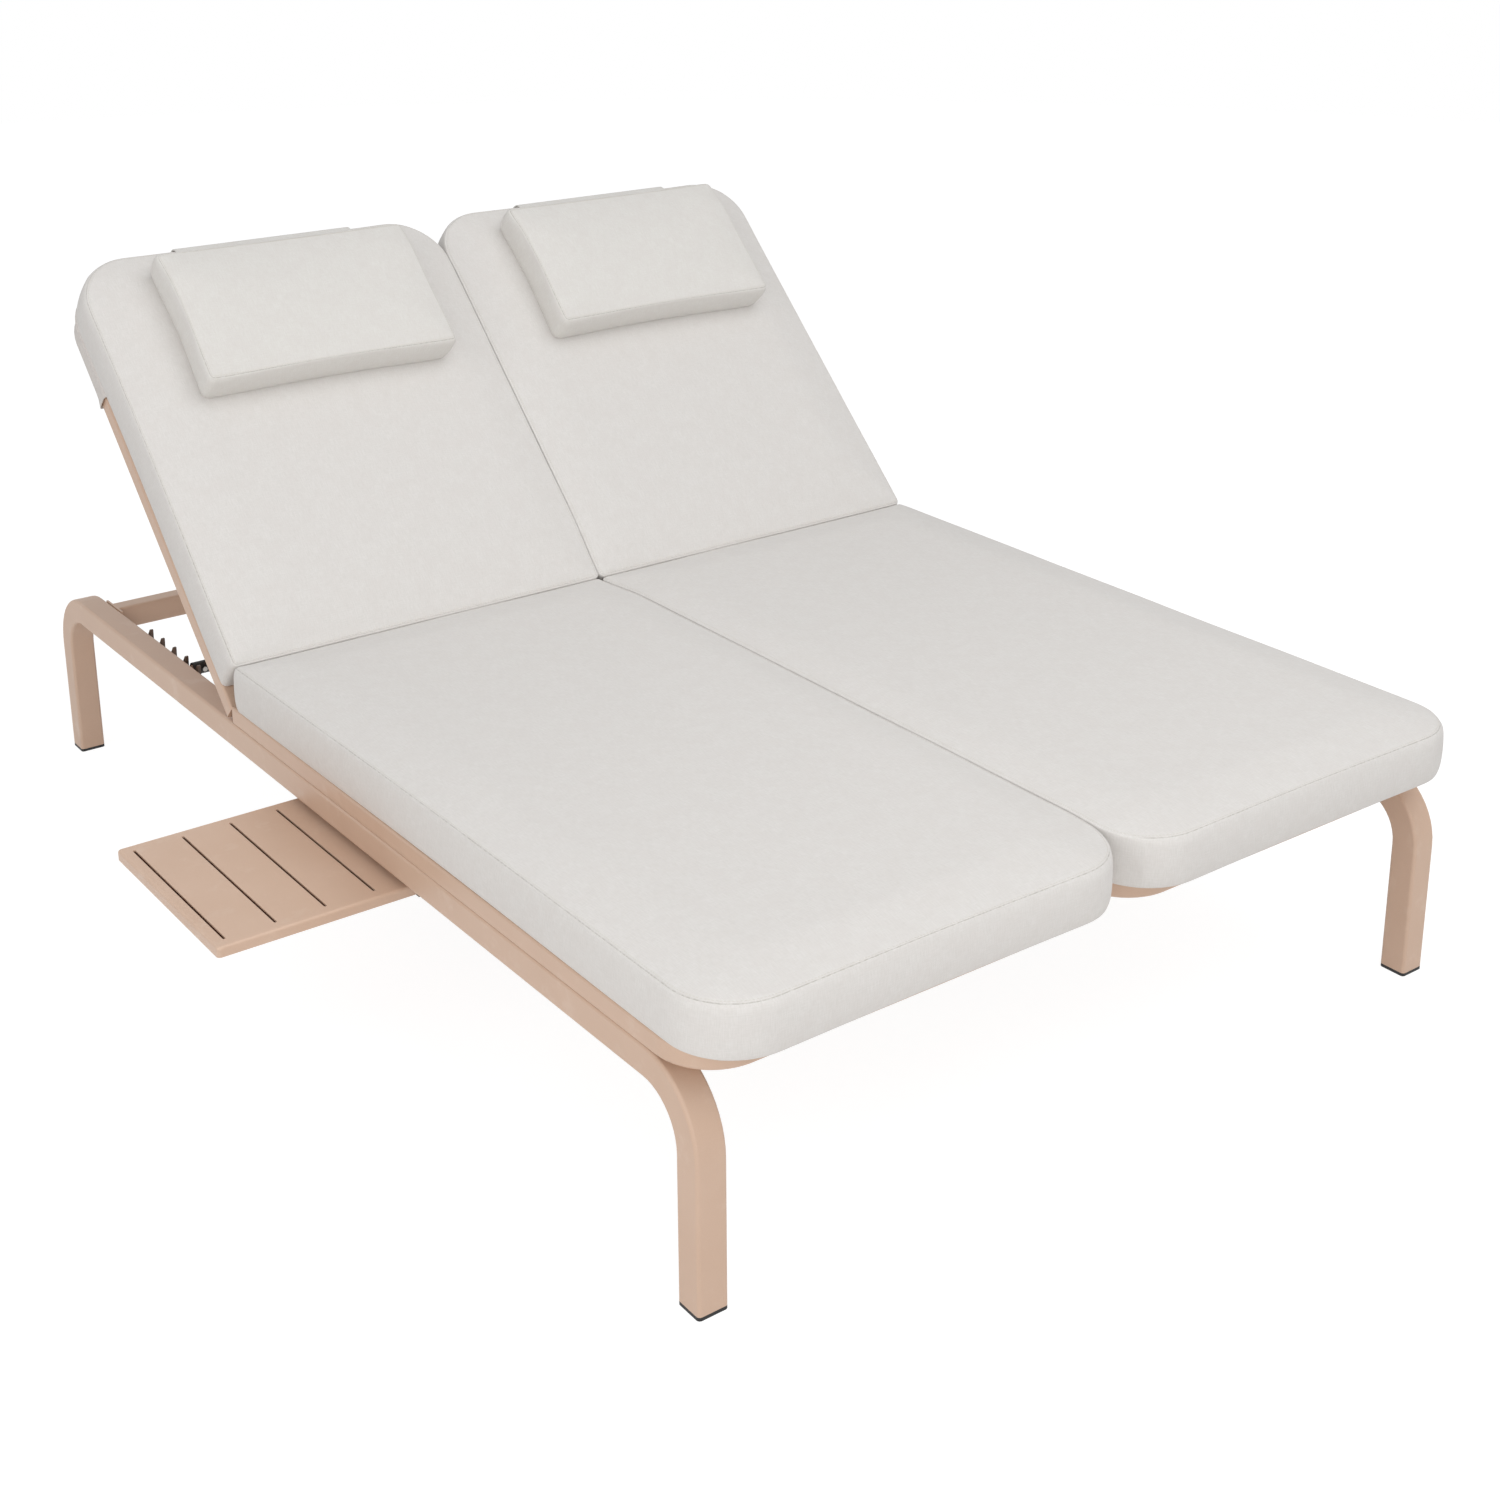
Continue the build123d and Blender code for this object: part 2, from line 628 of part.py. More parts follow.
def stay_screws():
    """Screw heads that hold the sleeves, on the side that faces the foot end at rest."""
    length, slope = stay_pose()[1:3]
    heads = []
    flat = SLEEVE_RADIUS - SCREW_RISE / 2
    for x in (ROD_OUTER + SLEEVE_LENGTH / 2, ROD_INNER - SLEEVE_LENGTH / 2):
        head = extrude(Pos(0, 0, SLEEVE_RADIUS) * Circle(SCREW_RADIUS), SCREW_RISE)
        sleeve = cylinder_x(-SCREW_RADIUS * 2, SCREW_RADIUS * 2, 0, 0, SLEEVE_RADIUS + PRESS_FIT)
        root = Pos(0, 0, flat) * extrude(Circle(SCREW_RADIUS), SCREW_RISE) - sleeve
        head += root
        heads.append(in_stay(Pos(x, length, 0) * Rot(90 - slope, 0, 0) * head))
    return heads


def side_tray():
    """Slotted tray of folded sheet, open below, pulled out past the left side tube."""
    outer = OUTER_X - TRAY_REACH
    inner = outer + TRAY_DEPTH
    tray = block(outer, inner, TRAY_FOOT_Y, TRAY_HEAD_Y, TRAY_TOP - TRAY_THICK, TRAY_TOP)
    tray = fillet(tray.edges().filter_by(Axis.Z), TRAY_CORNER)
    tray = fillet(tray.faces().sort_by(Axis.Z)[-1].edges(), TRAY_EDGE)
    tray -= block(outer + TRAY_SHEET, inner - TRAY_SHEET, TRAY_FOOT_Y + TRAY_SHEET, TRAY_HEAD_Y - TRAY_SHEET,
                  TRAY_TOP - TRAY_THICK - OVERRUN, TRAY_TOP - TRAY_SHEET)
    middle = (TRAY_FOOT_Y + TRAY_HEAD_Y) / 2
    length = TRAY_HEAD_Y - TRAY_FOOT_Y - 2 * SLOT_MARGIN
    slot = SlotOverall(length, SLOT_WIDTH, rotation=90)
    count = int((TRAY_DEPTH - 2 * SLOT_MARGIN) // SLOT_PITCH) + 1
    for index in range(count):
        place = Pos(outer + SLOT_MARGIN + index * SLOT_PITCH, middle, TRAY_TOP - TRAY_THICK - OVERRUN)
        tray -= place * extrude(slot, TRAY_THICK + 2 * OVERRUN)
    return tray


def tray_stops():
    """Two blocks at the tray's inner end that meet the runners' ties at both ends of its travel."""
    inner = OUTER_X - TRAY_REACH + TRAY_DEPTH
    low = TRAY_TOP - TRAY_THICK - STOP_DEPTH
    top = TRAY_TOP - TRAY_SHEET
    stops = []
    margin = RUNNER_GRIP + 2 * SIDE_PLAY
    for y in (TRAY_FOOT_Y + margin, TRAY_HEAD_Y - margin - STOP_LENGTH):
        stops.append(block(inner - STOP_LENGTH, inner, y, y + STOP_LENGTH, low, top))
    return stops


def runner(y_edge, side):
    """Channel that carries one edge of the tray, and its hangers; side is 1 on the head end's side."""
    x0 = OUTER_X + RUNNER_SETBACK
    x1 = BEAM_X
    web = y_edge + side * SIDE_PLAY
    back = web + side * RUNNER_WALL
    grip = y_edge - side * RUNNER_GRIP
    low = TRAY_TOP - TRAY_THICK - SIDE_PLAY
    high = TRAY_TOP + SIDE_PLAY
    edge0, edge1 = min(grip, back), max(grip, back)
    channel = block(x0, x1, edge0, edge1, low - RUNNER_WALL, high + RUNNER_WALL)
    bore0, bore1 = min(grip - side * OVERRUN, web), max(grip - side * OVERRUN, web)
    channel -= block(x0 - OVERRUN, x1 + OVERRUN, bore0, bore1, low, high)
    foot = high + RUNNER_WALL
    top = RAIL_UNDER + HANGER_HEIGHT
    rail_hanger = block(RAIL_X, RAIL_X + RUNNER_WALL, edge0, edge1, foot, top)
    beam_hanger = block(x1 - RUNNER_WALL, x1, edge0, edge1, foot, top)
    return [channel, rail_hanger, beam_hanger]


def tray_runners():
    """The two channels below the left seat, and the two flat ties that join them."""
    pieces = runner(TRAY_FOOT_Y, -1) + runner(TRAY_HEAD_Y, 1)
    inner = OUTER_X - TRAY_REACH + TRAY_DEPTH
    top = TRAY_TOP - TRAY_THICK - SIDE_PLAY - RUNNER_WALL
    edge = SIDE_PLAY + RUNNER_WALL
    for x in (inner - STOP_LENGTH - FIT - TIE_WIDTH, inner + TRAY_REACH + FIT):
        pieces.append(block(x, x + TIE_WIDTH, TRAY_FOOT_Y - edge, TRAY_HEAD_Y + edge, top - TIE_THICK, top))
    return pieces


def outline(x0, x1, y0, y1, foot_bend, head_bend, pull):
    """Plan of a cushion: round corners, and sides drawn in between them."""
    corners = [
        (x0 + foot_bend, y0 + foot_bend, foot_bend, 225),
        (x1 - foot_bend, y0 + foot_bend, foot_bend, 315),
        (x1 - head_bend, y1 - head_bend, head_bend, 45),
        (x0 + head_bend, y1 - head_bend, head_bend, 135),
    ]
    ends = []
    edges = []
    for x, y, bend, angle in corners:
        points = []
        for turn in (angle - 45, angle, angle + 45):
            points.append((x + bend * math.cos(math.radians(turn)), y + bend * math.sin(math.radians(turn))))
        edges.append(ThreePointArc(*points))
        ends.append((points[0], points[2]))
    centre = ((x0 + x1) / 2, (y0 + y1) / 2)
    for index in range(4):
        start = ends[index][1]
        stop = ends[(index + 1) % 4][0]
        middle = ((start[0] + stop[0]) / 2, (start[1] + stop[1]) / 2)
        reach = math.dist(middle, centre)
        drawn = tuple(m + (c - m) * pull / reach for m, c in zip(middle, centre))
        edges.append(ThreePointArc(start, drawn, stop))
    return make_face(edges)


def padded(x0, x1, y0, y1, low, side, crown, shoulder, foot_bend, head_bend):
    """Box cushion: rounded lower edge, upright sides that are drawn in, and a crowned top."""
    steps = [(0, CUSHION_EDGE), (CUSHION_EDGE, 0), (side - CUSHION_EDGE, 0)]
    for inset_share, rise_share in CROWN_SHARES:
        steps.append((side + crown * rise_share, CUSHION_EDGE / 2 + shoulder * inset_share))
    sections = []
    for rise, inset in steps:
        foot = max(foot_bend - inset, SQUARE_BEND / 2)
        head = max(head_bend - inset, SQUARE_BEND / 2)
        face = outline(x0 + inset, x1 - inset, y0 + inset, y1 - inset, foot, head, CUSHION_PULL)
        sections.append(Pos(0, 0, low + rise) * face)
    return loft(sections, ruled=True)


def seat_cushion():
    """Left seat cushion; it stands out past the frame at the foot end."""
    return padded(CUSHION_OUTER, CUSHION_INNER, SEAT_FRONT - SEAT_OVERHANG, SEAT_CUSHION_REAR, SEAT_TOP,
                  CUSHION_SIDE, CUSHION_CROWN, CUSHION_SHOULDER, CUSHION_BEND, SQUARE_BEND)


def back_cushion():
    """Left back cushion in the lowered pose."""
    return padded(CUSHION_OUTER, CUSHION_INNER, BACK_START + BACK_CUSHION_START,
                  BACK_START + BACK_CUSHION_END, BACK_TOP + FIT, CUSHION_SIDE, CUSHION_CROWN,
                  CUSHION_SHOULDER, SQUARE_BEND, CUSHION_BEND)


def pillow_low():
    """Underside of the head pillow, on the crown of the back cushion."""
    return BACK_TOP + FIT + CUSHION_SIDE + CUSHION_CROWN + FIT


def head_pillow():
    """Left head pillow in the lowered pose."""
    middle = SEAT_CENTRE + PILLOW_SHIFT
    half = PILLOW_WIDTH / 2
    return padded(middle - half, middle + half, BACK_START + PILLOW_START, BACK_START + PILLOW_END,
                  pillow_low(), PILLOW_SIDE, PILLOW_CROWN, PILLOW_SHOULDER, PILLOW_BEND, PILLOW_BEND)


def hood_low():
    """Underside of the hood, below the lowered backrest frame."""
    return BACK_LOW - FIT - HOOD_THICK


def pillow_strap():
    """Flap that runs from the pillow over the top of the back cushion and down behind the hood."""
    start = BACK_START + PILLOW_END + FIT
    inner = BACK_START + BACK_CUSHION_END + FIT
    outer = inner + STRAP_THICK
    top = pillow_low() + STRAP_THICK
    low = hood_low() - FIT - STRAP_THICK
    points = [
        (start, top - STRAP_THICK), (inner, top - STRAP_THICK), (inner, low + STRAP_THICK),
        (inner - STRAP_BACK, low + STRAP_THICK), (inner - STRAP_BACK, low), (outer, low),
        (outer, top), (start, top),
    ]
    face = make_face(Polyline(*points, close=True))
    middle = SEAT_CENTRE + PILLOW_SHIFT
    return extrude(Plane.YZ.offset(middle - STRAP_WIDTH / 2) * face, STRAP_WIDTH)


def back_hood():
    """Fabric pocket that slips over the top of the left backrest frame from behind."""
    start = BACK_END - HOOD_DEPTH
    half = SEAT_WIDTH / 2
    gap = FIT
    skin = FIT + HOOD_THICK
    outer = arch_face(half + skin, start, BACK_END + skin, FRAME_BEND + skin)
    inner = arch_face(half + gap, start - OVERRUN, BACK_END + gap, FRAME_BEND + gap)
    low = hood_low()
    shell = Pos(0, 0, low) * extrude(outer, BACK_TOP - low)
    shell -= Pos(0, 0, low + HOOD_THICK) * extrude(inner, BACK_TOP - low + OVERRUN)
    return Pos(SEAT_CENTRE, 0, 0) * shell


def write(name, shapes):
    """Write one sub-part, of one solid or of several, as a STEP file."""
    if not isinstance(shapes, list):
        shapes = [shapes]
    solids = []
    for shape in shapes:
        solids.extend(shape.solids())
    part = solids[0] if len(solids) == 1 else Compound(children=solids)
    export_step(part, f"parts/{name}.step")


def write_base():
    """Pieces that there are one of."""
    write("foot_caps", foot_caps())
    write("crossbar_front", crossbar(-CROSSBAR_Y))
    write("crossbar_rear", crossbar(CROSSBAR_Y))
    write("centre_beam", centre_beam())
    write("frame_plates", frame_plates())
    write("frame_bolts", frame_bolts())
    write("side_tray", [side_tray() + tray_stops()])
    write("tray_runners", tray_runners())


def write_side(side):
    """Pieces of one side of the lounger."""
    fixed = {
        "side_frame": [side_frame()],
        "seat_bars": seat_bars(),
        "seat_bow": [seat_bow()],
        "seat_ends": end_plates(SEAT_REAR - END_PLATE, DECK_HEIGHT),
        "seat_braces": seat_braces(),
        "seat_slats": seat_slats(),
        "seat_cushion": [seat_cushion()],
        "hinge_ears": hinge_ears(),
        "hinge_pins": hinge_pins(),
        "racks": racks(),
        "stay_arms": stay_arms(),
        "stay_rod": [stay_rod()],
        "stay_sleeves": stay_sleeves(),
        "stay_screws": stay_screws(),
    }
    turning = {
        "back_bars": back_bars(),
        "back_bow": [back_bow()],
        "back_ends": end_plates(BACK_START, BACK_LOW),
        "back_braces": back_braces(),
        "back_slats": back_slats(),
        "hinge_eyes": hinge_eyes(),
        "stay_lugs": stay_lugs(),
        "stay_pins": stay_pins(),
        "back_cushion": [back_cushion()],
        "back_hood": [back_hood()],
        "head_pillow": [head_pillow()],
        "pillow_strap": [pillow_strap()],
    }
    for name, shapes in fixed.items():
        write(f"{name}_{side}", [mirrored(shape, side) for shape in shapes])
    for name, shapes in turning.items():
        write(f"{name}_{side}", [mirrored(raised(shape), side) for shape in shapes])


def print_motion():
    """Print the stay's pivot and how far it turns on the backrest as the backrest turns."""
    (pivot_y, pivot_z), length, slope, low_slope = stay_pose()
    ratio = (slope - low_slope) / REST_ANGLE - 1
    print(f"stay pivot y {pivot_y:.3f} z {pivot_z:.3f} length {length:.3f} slope {slope:.3f} ratio {ratio:.5f}")


os.makedirs("parts", exist_ok=True)
write_base()
for side_name in ("left", "right"):
    write_side(side_name)
print_motion()
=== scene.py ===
import json
import math

import bmesh
import bpy
from mathutils import Matrix, Vector, noise


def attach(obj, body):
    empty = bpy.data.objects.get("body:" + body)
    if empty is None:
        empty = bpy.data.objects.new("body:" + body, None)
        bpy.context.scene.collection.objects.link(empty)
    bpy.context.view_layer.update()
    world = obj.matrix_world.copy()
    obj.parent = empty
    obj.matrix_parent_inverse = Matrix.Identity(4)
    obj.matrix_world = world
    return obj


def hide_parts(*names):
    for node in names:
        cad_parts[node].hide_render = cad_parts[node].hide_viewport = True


# Double chaise lounger: finishes for the frame's parts, and the cushions, pillows, straps and hoods.
# Metres, +Z up, +Y towards the head end. The left half is at -X.

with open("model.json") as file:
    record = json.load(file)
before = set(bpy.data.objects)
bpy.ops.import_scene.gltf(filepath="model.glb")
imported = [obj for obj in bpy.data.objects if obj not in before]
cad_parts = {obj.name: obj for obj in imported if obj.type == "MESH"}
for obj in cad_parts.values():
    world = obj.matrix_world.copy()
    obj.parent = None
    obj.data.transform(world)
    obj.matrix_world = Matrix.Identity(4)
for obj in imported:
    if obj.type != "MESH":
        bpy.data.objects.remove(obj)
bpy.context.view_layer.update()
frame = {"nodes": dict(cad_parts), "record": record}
SCENE = bpy.context.scene

# Hinge line of the backrests and the angle at which they stand; their pieces are made lying flat
HINGE = Vector((0.0, 0.248, 0.329))
REST_ANGLE = math.radians(44.0)

# Box cushions and pillows: boundaries seen from above, undersides, heights and bends
SEAT_X = (-0.661, -0.0011)
SEAT_Y = (-1.037, 0.2185)
SEAT_LOW = 0.340
BACK_X = (-0.661, -0.0002)
BACK_Y = (0.2820, 1.044)
BACK_LOW = 0.3413
CUSHION_SIDE = 0.070
CUSHION_CROWN = 0.012
CUSHION_BEND = 0.091
SQUARE_BEND = 0.0095
PILLOW_X = (-0.5475, -0.1010)
PILLOW_Y = (0.738, 0.999)
PILLOW_LOW = 0.4236
PILLOW_SIDE = 0.066
PILLOW_CROWN = 0.008
PILLOW_BEND = 0.010
RIGHT_PILLOW_SLIDE = 0.013

# Their covers: strip outside a panel's grid, how far free sides are drawn in, width over which
# the crown rises, size of a grid cell and how far the border swells
PANEL_MARGIN = 0.0078
CUSHION_PULL, PILLOW_PULL = 0.003, 0.004
CUSHION_SHOULDER, PILLOW_SHOULDER = 0.090, 0.060
CUSHION_CELL, PILLOW_CELL = 0.014, 0.010
CUSHION_BULGE, PILLOW_BULGE = 0.0040, 0.0035

# Share of the missing crown that an edge gets back where twins meet, and the length of its fade at both ends
MIDDLE_LIFT = 0.65
MIDDLE_FADE = 0.14

# How far the strap draws a pillow's upper end down, over which length, and how far its bottom is drawn in
PILLOW_DROP = 0.008
PILLOW_DROP_REACH = 0.07
PILLOW_TUCK = 0.005

# Filling of the covers: pressure, how firmly the sewn rings are held, longest way of a point and frames
FILL_PRESSURE = 4.0
SEWN_HOLD = 0.82
FILL_REACH = 0.006
FILL_FRAMES = 20

# Unevenness of the filled covers
DENT = 0.0008
PUCKER = 0.00010

# Seams and stitches
SEAM_INSET = 0.0030
SEAM_DEPTH = 0.0018
STITCH_INSET = 0.0054
STITCH_PITCH = 0.0046
STITCH_LENGTH = 0.0033
STITCH_LIFT = 0.0001
THREAD = 0.00036

# Straps: reach across, and corners (y, z) of their path from the pillow to below the hood
STRAP_X = (-0.482, -0.160)
STRAP_THICK = 0.0026
STRAP_COLUMNS = 24
STRAP_EASE = 0.012
STRAP_STEP = 0.008
RIGHT_STRAP_SLIDE = 0.024
STRAP_PATH = (
    (0.9880, 0.4800), (0.9965, 0.4735), (1.0070, 0.4500), (1.0180, 0.4310), (1.0330, 0.4200),
    (1.0450, 0.4136), (1.0496, 0.4020), (1.0506, 0.3750), (1.0494, 0.3480), (1.0470, 0.3200),
    (1.0400, 0.3080), (1.0200, 0.3072), (0.9113, 0.3072),
)

# Hoods: boundary, underside, and where and how far the open end stands out and sags
HOOD_X = (-0.6618, -0.0012)
HOOD_START = 0.820
HOOD_END = 1.0318
HOOD_LOW = 0.3117
HOOD_FOOT_BEND = 0.0050
HOOD_HEAD_BEND = 0.0818
HOOD_INSET = 0.004
HOOD_CELL = 0.016
HOOD_THICK = 0.0013
HOOD_OUTER_WALL = -0.655
HOOD_OPEN_FROM = 0.030
HOOD_OPEN_REACH = 0.026
HOOD_FLARE = 0.0026
HOOD_SAG = 0.0020

# Width of the eased edges of straps and hoods
HEM = 0.0006

# Pan that closes the tray from below
TRAY_PAN_X = (-0.9222, -0.3785)
TRAY_PAN_Y = -0.132
TRAY_PAN_Z = 0.2489
TRAY_PAN_LENGTH = 0.3406
TRAY_PAN_HEIGHT = 0.0062
TRAY_PAN_BEND = 0.004
TRAY_PAN_WALL = 0.0016
TRAY_PAN_DEPTH = 0.0048
TRAY_PAN_EDGE = 0.0004

# The photograph's viewpoint: degrees round Z, down from level and of roll
CAMERA_PLACE = (-1.8614, -2.7348, 1.6878)
CAMERA_TURN = -36.786
CAMERA_DOWN = 17.951
CAMERA_ROLL = -0.101
CAMERA_LENS = 52.658
CAMERA_SHIFT = (-0.00932, -0.17152)

# Light: world strength, glow of the floor, and for each lamp its place, size, energy and colour
WORLD_STRENGTH = 0.53
FLOOR_GLOW = 0.90
FLOOR_RADIUS = 9.0
SOFTBOXES = {
    "overhead_softbox": ((0.4, -1.8, 3.4), 3.0, 48.0, (1.0, 1.0, 0.995)),
    "left_softbox": ((-4.2, -1.2, 2.4), 2.6, 34.0, (1.0, 0.995, 0.985)),
    "front_softbox": ((-2.6, -4.0, 1.9), 2.2, 34.0, (1.0, 0.99, 0.98)),
}


def unit(value):
    """Value held between 0 and 1."""
    return min(max(value, 0), 1)


def ease(share):
    """Smooth step of a share between 0 and 1."""
    return share * share * (3 - 2 * share)


def srgb(red, green, blue):
    """Linear colour of 8-bit screen values."""
    def linear(value):
        value /= 255
        return value / 12.92 if value <= 0.04045 else ((value + 0.055) / 1.055) ** 2.4
    return (linear(red), linear(green), linear(blue), 1.0)


def deselect():
    """Object mode with nothing selected."""
    if bpy.context.object and bpy.context.object.mode != "OBJECT":
        bpy.ops.object.mode_set(mode="OBJECT")
    bpy.ops.object.select_all(action="DESELECT")


def pick(obj):
    """Only this object selected and active."""
    deselect()
    obj.select_set(True)
    bpy.context.view_layer.objects.active = obj


def edit(obj, kind="VERT"):
    """Edit mode on this object with nothing selected; gives its mesh."""
    pick(obj)
    bpy.ops.object.mode_set(mode="EDIT")
    bpy.ops.mesh.select_mode(type=kind)
    bpy.ops.mesh.select_all(action="DESELECT")
    return bmesh.from_edit_mesh(obj.data)


def apply_modifier(obj, name, kind, **values):
    """Add a modifier with these values and apply it."""
    pick(obj)
    modifier = obj.modifiers.new(name, kind)
    for key, value in values.items():
        setattr(modifier, key, value)
    bpy.ops.object.modifier_apply(modifier=name)


def smooth(obj, angle=35.0):
    """Smooth shading with edges above the angle kept sharp."""
    pick(obj)
    bpy.ops.object.shade_smooth_by_angle(angle=math.radians(angle))


def lean_back(obj):
    """Turn a piece that was made lying flat to the backrest's pose at rest."""
    turn = Matrix.Translation(HINGE) @ Matrix.Rotation(REST_ANGLE, 4, "X") @ Matrix.Translation(-HINGE)
    obj.data.transform(turn)


def right_copy(obj, slide=0.0):
    """Mirror image of a left piece, with its own mesh, moved this far to the right."""
    other = obj.copy()
    other.data = obj.data.copy()
    other.name = obj.name.replace("left", "right")
    bpy.context.collection.objects.link(other)
    other.data.transform(Matrix.Translation((slide, 0, 0)) @ Matrix.Scale(-1, 4, (1, 0, 0)))
    other.data.flip_normals()
    return other


# Materials

def new_group(name, inputs, outputs):
    """Empty shader node group with named float, colour or vector sockets."""
    group = bpy.data.node_groups.new(name, "ShaderNodeTree")
    for label, kind, value in inputs:
        socket = group.interface.new_socket(label, in_out="INPUT", socket_type=kind)
        if value is not None:
            socket.default_value = value
    for label, kind in outputs:
        group.interface.new_socket(label, in_out="OUTPUT", socket_type=kind)
    return group, group.nodes.new("NodeGroupInput"), group.nodes.new("NodeGroupOutput")


class Wires:
    """Short ways to add and join nodes in one tree."""

    def __init__(self, tree):
        self.tree = tree

    def node(self, kind, **values):
        made = self.tree.nodes.new(kind)
        for key, value in values.items():
            setattr(made, key, value)
        return made

    def join(self, source, target):
        self.tree.links.new(source, target)

    def feed(self, socket, value):
        if hasattr(value, "is_output"):
            self.join(value, socket)
        else:
            socket.default_value = value

    def math(self, operation, first, second=0.0):
        made = self.node("ShaderNodeMath", operation=operation)
        self.feed(made.inputs[0], first)
        self.feed(made.inputs[1], second)
        return made.outputs[0]

    def noise(self, vector, scale, detail=2.0, roughness=0.5):
        made = self.node("ShaderNodeTexNoise", noise_dimensions="3D")
        self.feed(made.inputs["Vector"], vector)
        self.feed(made.inputs["Scale"], scale)
        made.inputs["Detail"].default_value = detail
        made.inputs["Roughness"].default_value = roughness
        return made.outputs["Fac"]

    def stretch(self, vector, scale):
        made = self.node("ShaderNodeMapping", vector_type="POINT")
        self.join(vector, made.inputs["Vector"])
        made.inputs["Scale"].default_value = scale
        return made.outputs["Vector"]

    def ramp(self, value, low, high, out_low=0.0, out_high=1.0):
        made = self.node("ShaderNodeMapRange", interpolation_type="SMOOTHSTEP")
        self.feed(made.inputs["Value"], value)
        limits = {"From Min": low, "From Max": high, "To Min": out_low, "To Max": out_high}
        for label, number in limits.items():
            self.feed(made.inputs[label], number)
        return made.outputs["Result"]

    def mix(self, fac, first, second):
        made = self.node("ShaderNodeMix", data_type="RGBA")
        self.feed(made.inputs["Factor"], fac)
        self.feed(made.inputs["A"], first)
        self.feed(made.inputs["B"], second)
        return made.outputs["Result"]


def linen_group():
    """Plain weave of slubby yarns: height, a tone that varies yarn by yarn, and a cloudy tone."""
    group, source, sink = new_group(
        "linen_weave",
        [("Vector", "NodeSocketVector", None), ("Yarn", "NodeSocketFloat", 0.0011)],
        [("Height", "NodeSocketFloat"), ("Streaks", "NodeSocketFloat"), ("Clouds", "NodeSocketFloat")])
    w = Wires(group)
    place = source.outputs["Vector"]
    parts = w.node("ShaderNodeSeparateXYZ")
    w.join(place, parts.inputs[0])
    waves = []
    for axis in (0, 1):
        turns = w.math("DIVIDE", parts.outputs[axis], source.outputs["Yarn"])
        waves.append(w.math("SINE", w.math("MULTIPLY", turns, math.pi)))
    weave = w.math("MULTIPLY", waves[0], waves[1])
    over = w.math("MULTIPLY_ADD", weave, 0.5)
    over.node.inputs[2].default_value = 0.5
    warp = w.noise(w.stretch(place, (800.0, 70.0, 1.0)), 1.0, 3.0, 0.6)
    weft = w.noise(w.stretch(place, (70.0, 800.0, 1.0)), 1.0, 3.0, 0.6)
    streaks = w.math("ADD", w.math("MULTIPLY", warp, 0.58), w.math("MULTIPLY", weft, 0.42))
    clouds = w.noise(w.stretch(place, (36.0, 30.0, 1.0)), 1.0, 4.0, 0.62)
    height = w.math("ADD", w.math("MULTIPLY", over, 0.5), w.math("MULTIPLY", streaks, 0.5))
    w.join(height, sink.inputs["Height"])
    w.join(w.ramp(streaks, 0.36, 0.64), sink.inputs["Streaks"])
    w.join(w.ramp(clouds, 0.30, 0.70), sink.inputs["Clouds"])
    return group


def coat_group():
    """Powder coat: a fine orange-peel height, a faint tone and patches worn by handling."""
    group, source, sink = new_group(
        "powder_coat",
        [("Vector", "NodeSocketVector", None), ("Grain", "NodeSocketFloat", 900.0)],
        [("Height", "NodeSocketFloat"), ("Tone", "NodeSocketFloat"), ("Handling", "NodeSocketFloat")])
    w = Wires(group)
    place = source.outputs["Vector"]
    fine = w.noise(place, source.outputs["Grain"], 2.0, 0.6)
    peel = w.noise(place, w.math("MULTIPLY", source.outputs["Grain"], 0.28), 1.0, 0.5)
    height = w.math("ADD", w.math("MULTIPLY", fine, 0.6), w.math("MULTIPLY", peel, 0.8))
    w.join(height, sink.inputs["Height"])
    tone = w.math("ADD", w.math("MULTIPLY", fine, 0.5), w.math("MULTIPLY", w.noise(place, 9.0, 3.0), 0.5))
    w.join(w.ramp(tone, 0.35, 0.65), sink.inputs["Tone"])
    w.join(w.ramp(w.noise(place, 22.0, 4.0, 0.65), 0.52, 0.72), sink.inputs["Handling"])
    return group


LINEN = linen_group()
COAT = coat_group()


def new_material(name, roughness=0.5, metallic=0.0):
    """Material with a Principled shader; gives it, its wires and its shader."""
    material = bpy.data.materials.new(name)
    material.use_nodes = True
    w = Wires(material.node_tree)
    shader = material.node_tree.nodes["Principled BSDF"]
    shader.inputs["Roughness"].default_value = roughness
    shader.inputs["Metallic"].default_value = metallic
    return material, w, shader


def add_bump(w, shader, height, strength, distance):
    """Feed a height to the shader's normal."""
    bump = w.node("ShaderNodeBump")
    bump.inputs["Strength"].default_value = strength
    bump.inputs["Distance"].default_value = distance
    w.join(height, bump.inputs["Height"])
    w.join(bump.outputs["Normal"], shader.inputs["Normal"])


def use_group(w, group, vector, **values):
    """Place a shared group and feed it."""
    made = w.node("ShaderNodeGroup", node_tree=group)
    w.join(vector, made.inputs["Vector"])
    for key, value in values.items():
        made.inputs[key].default_value = value
    return made


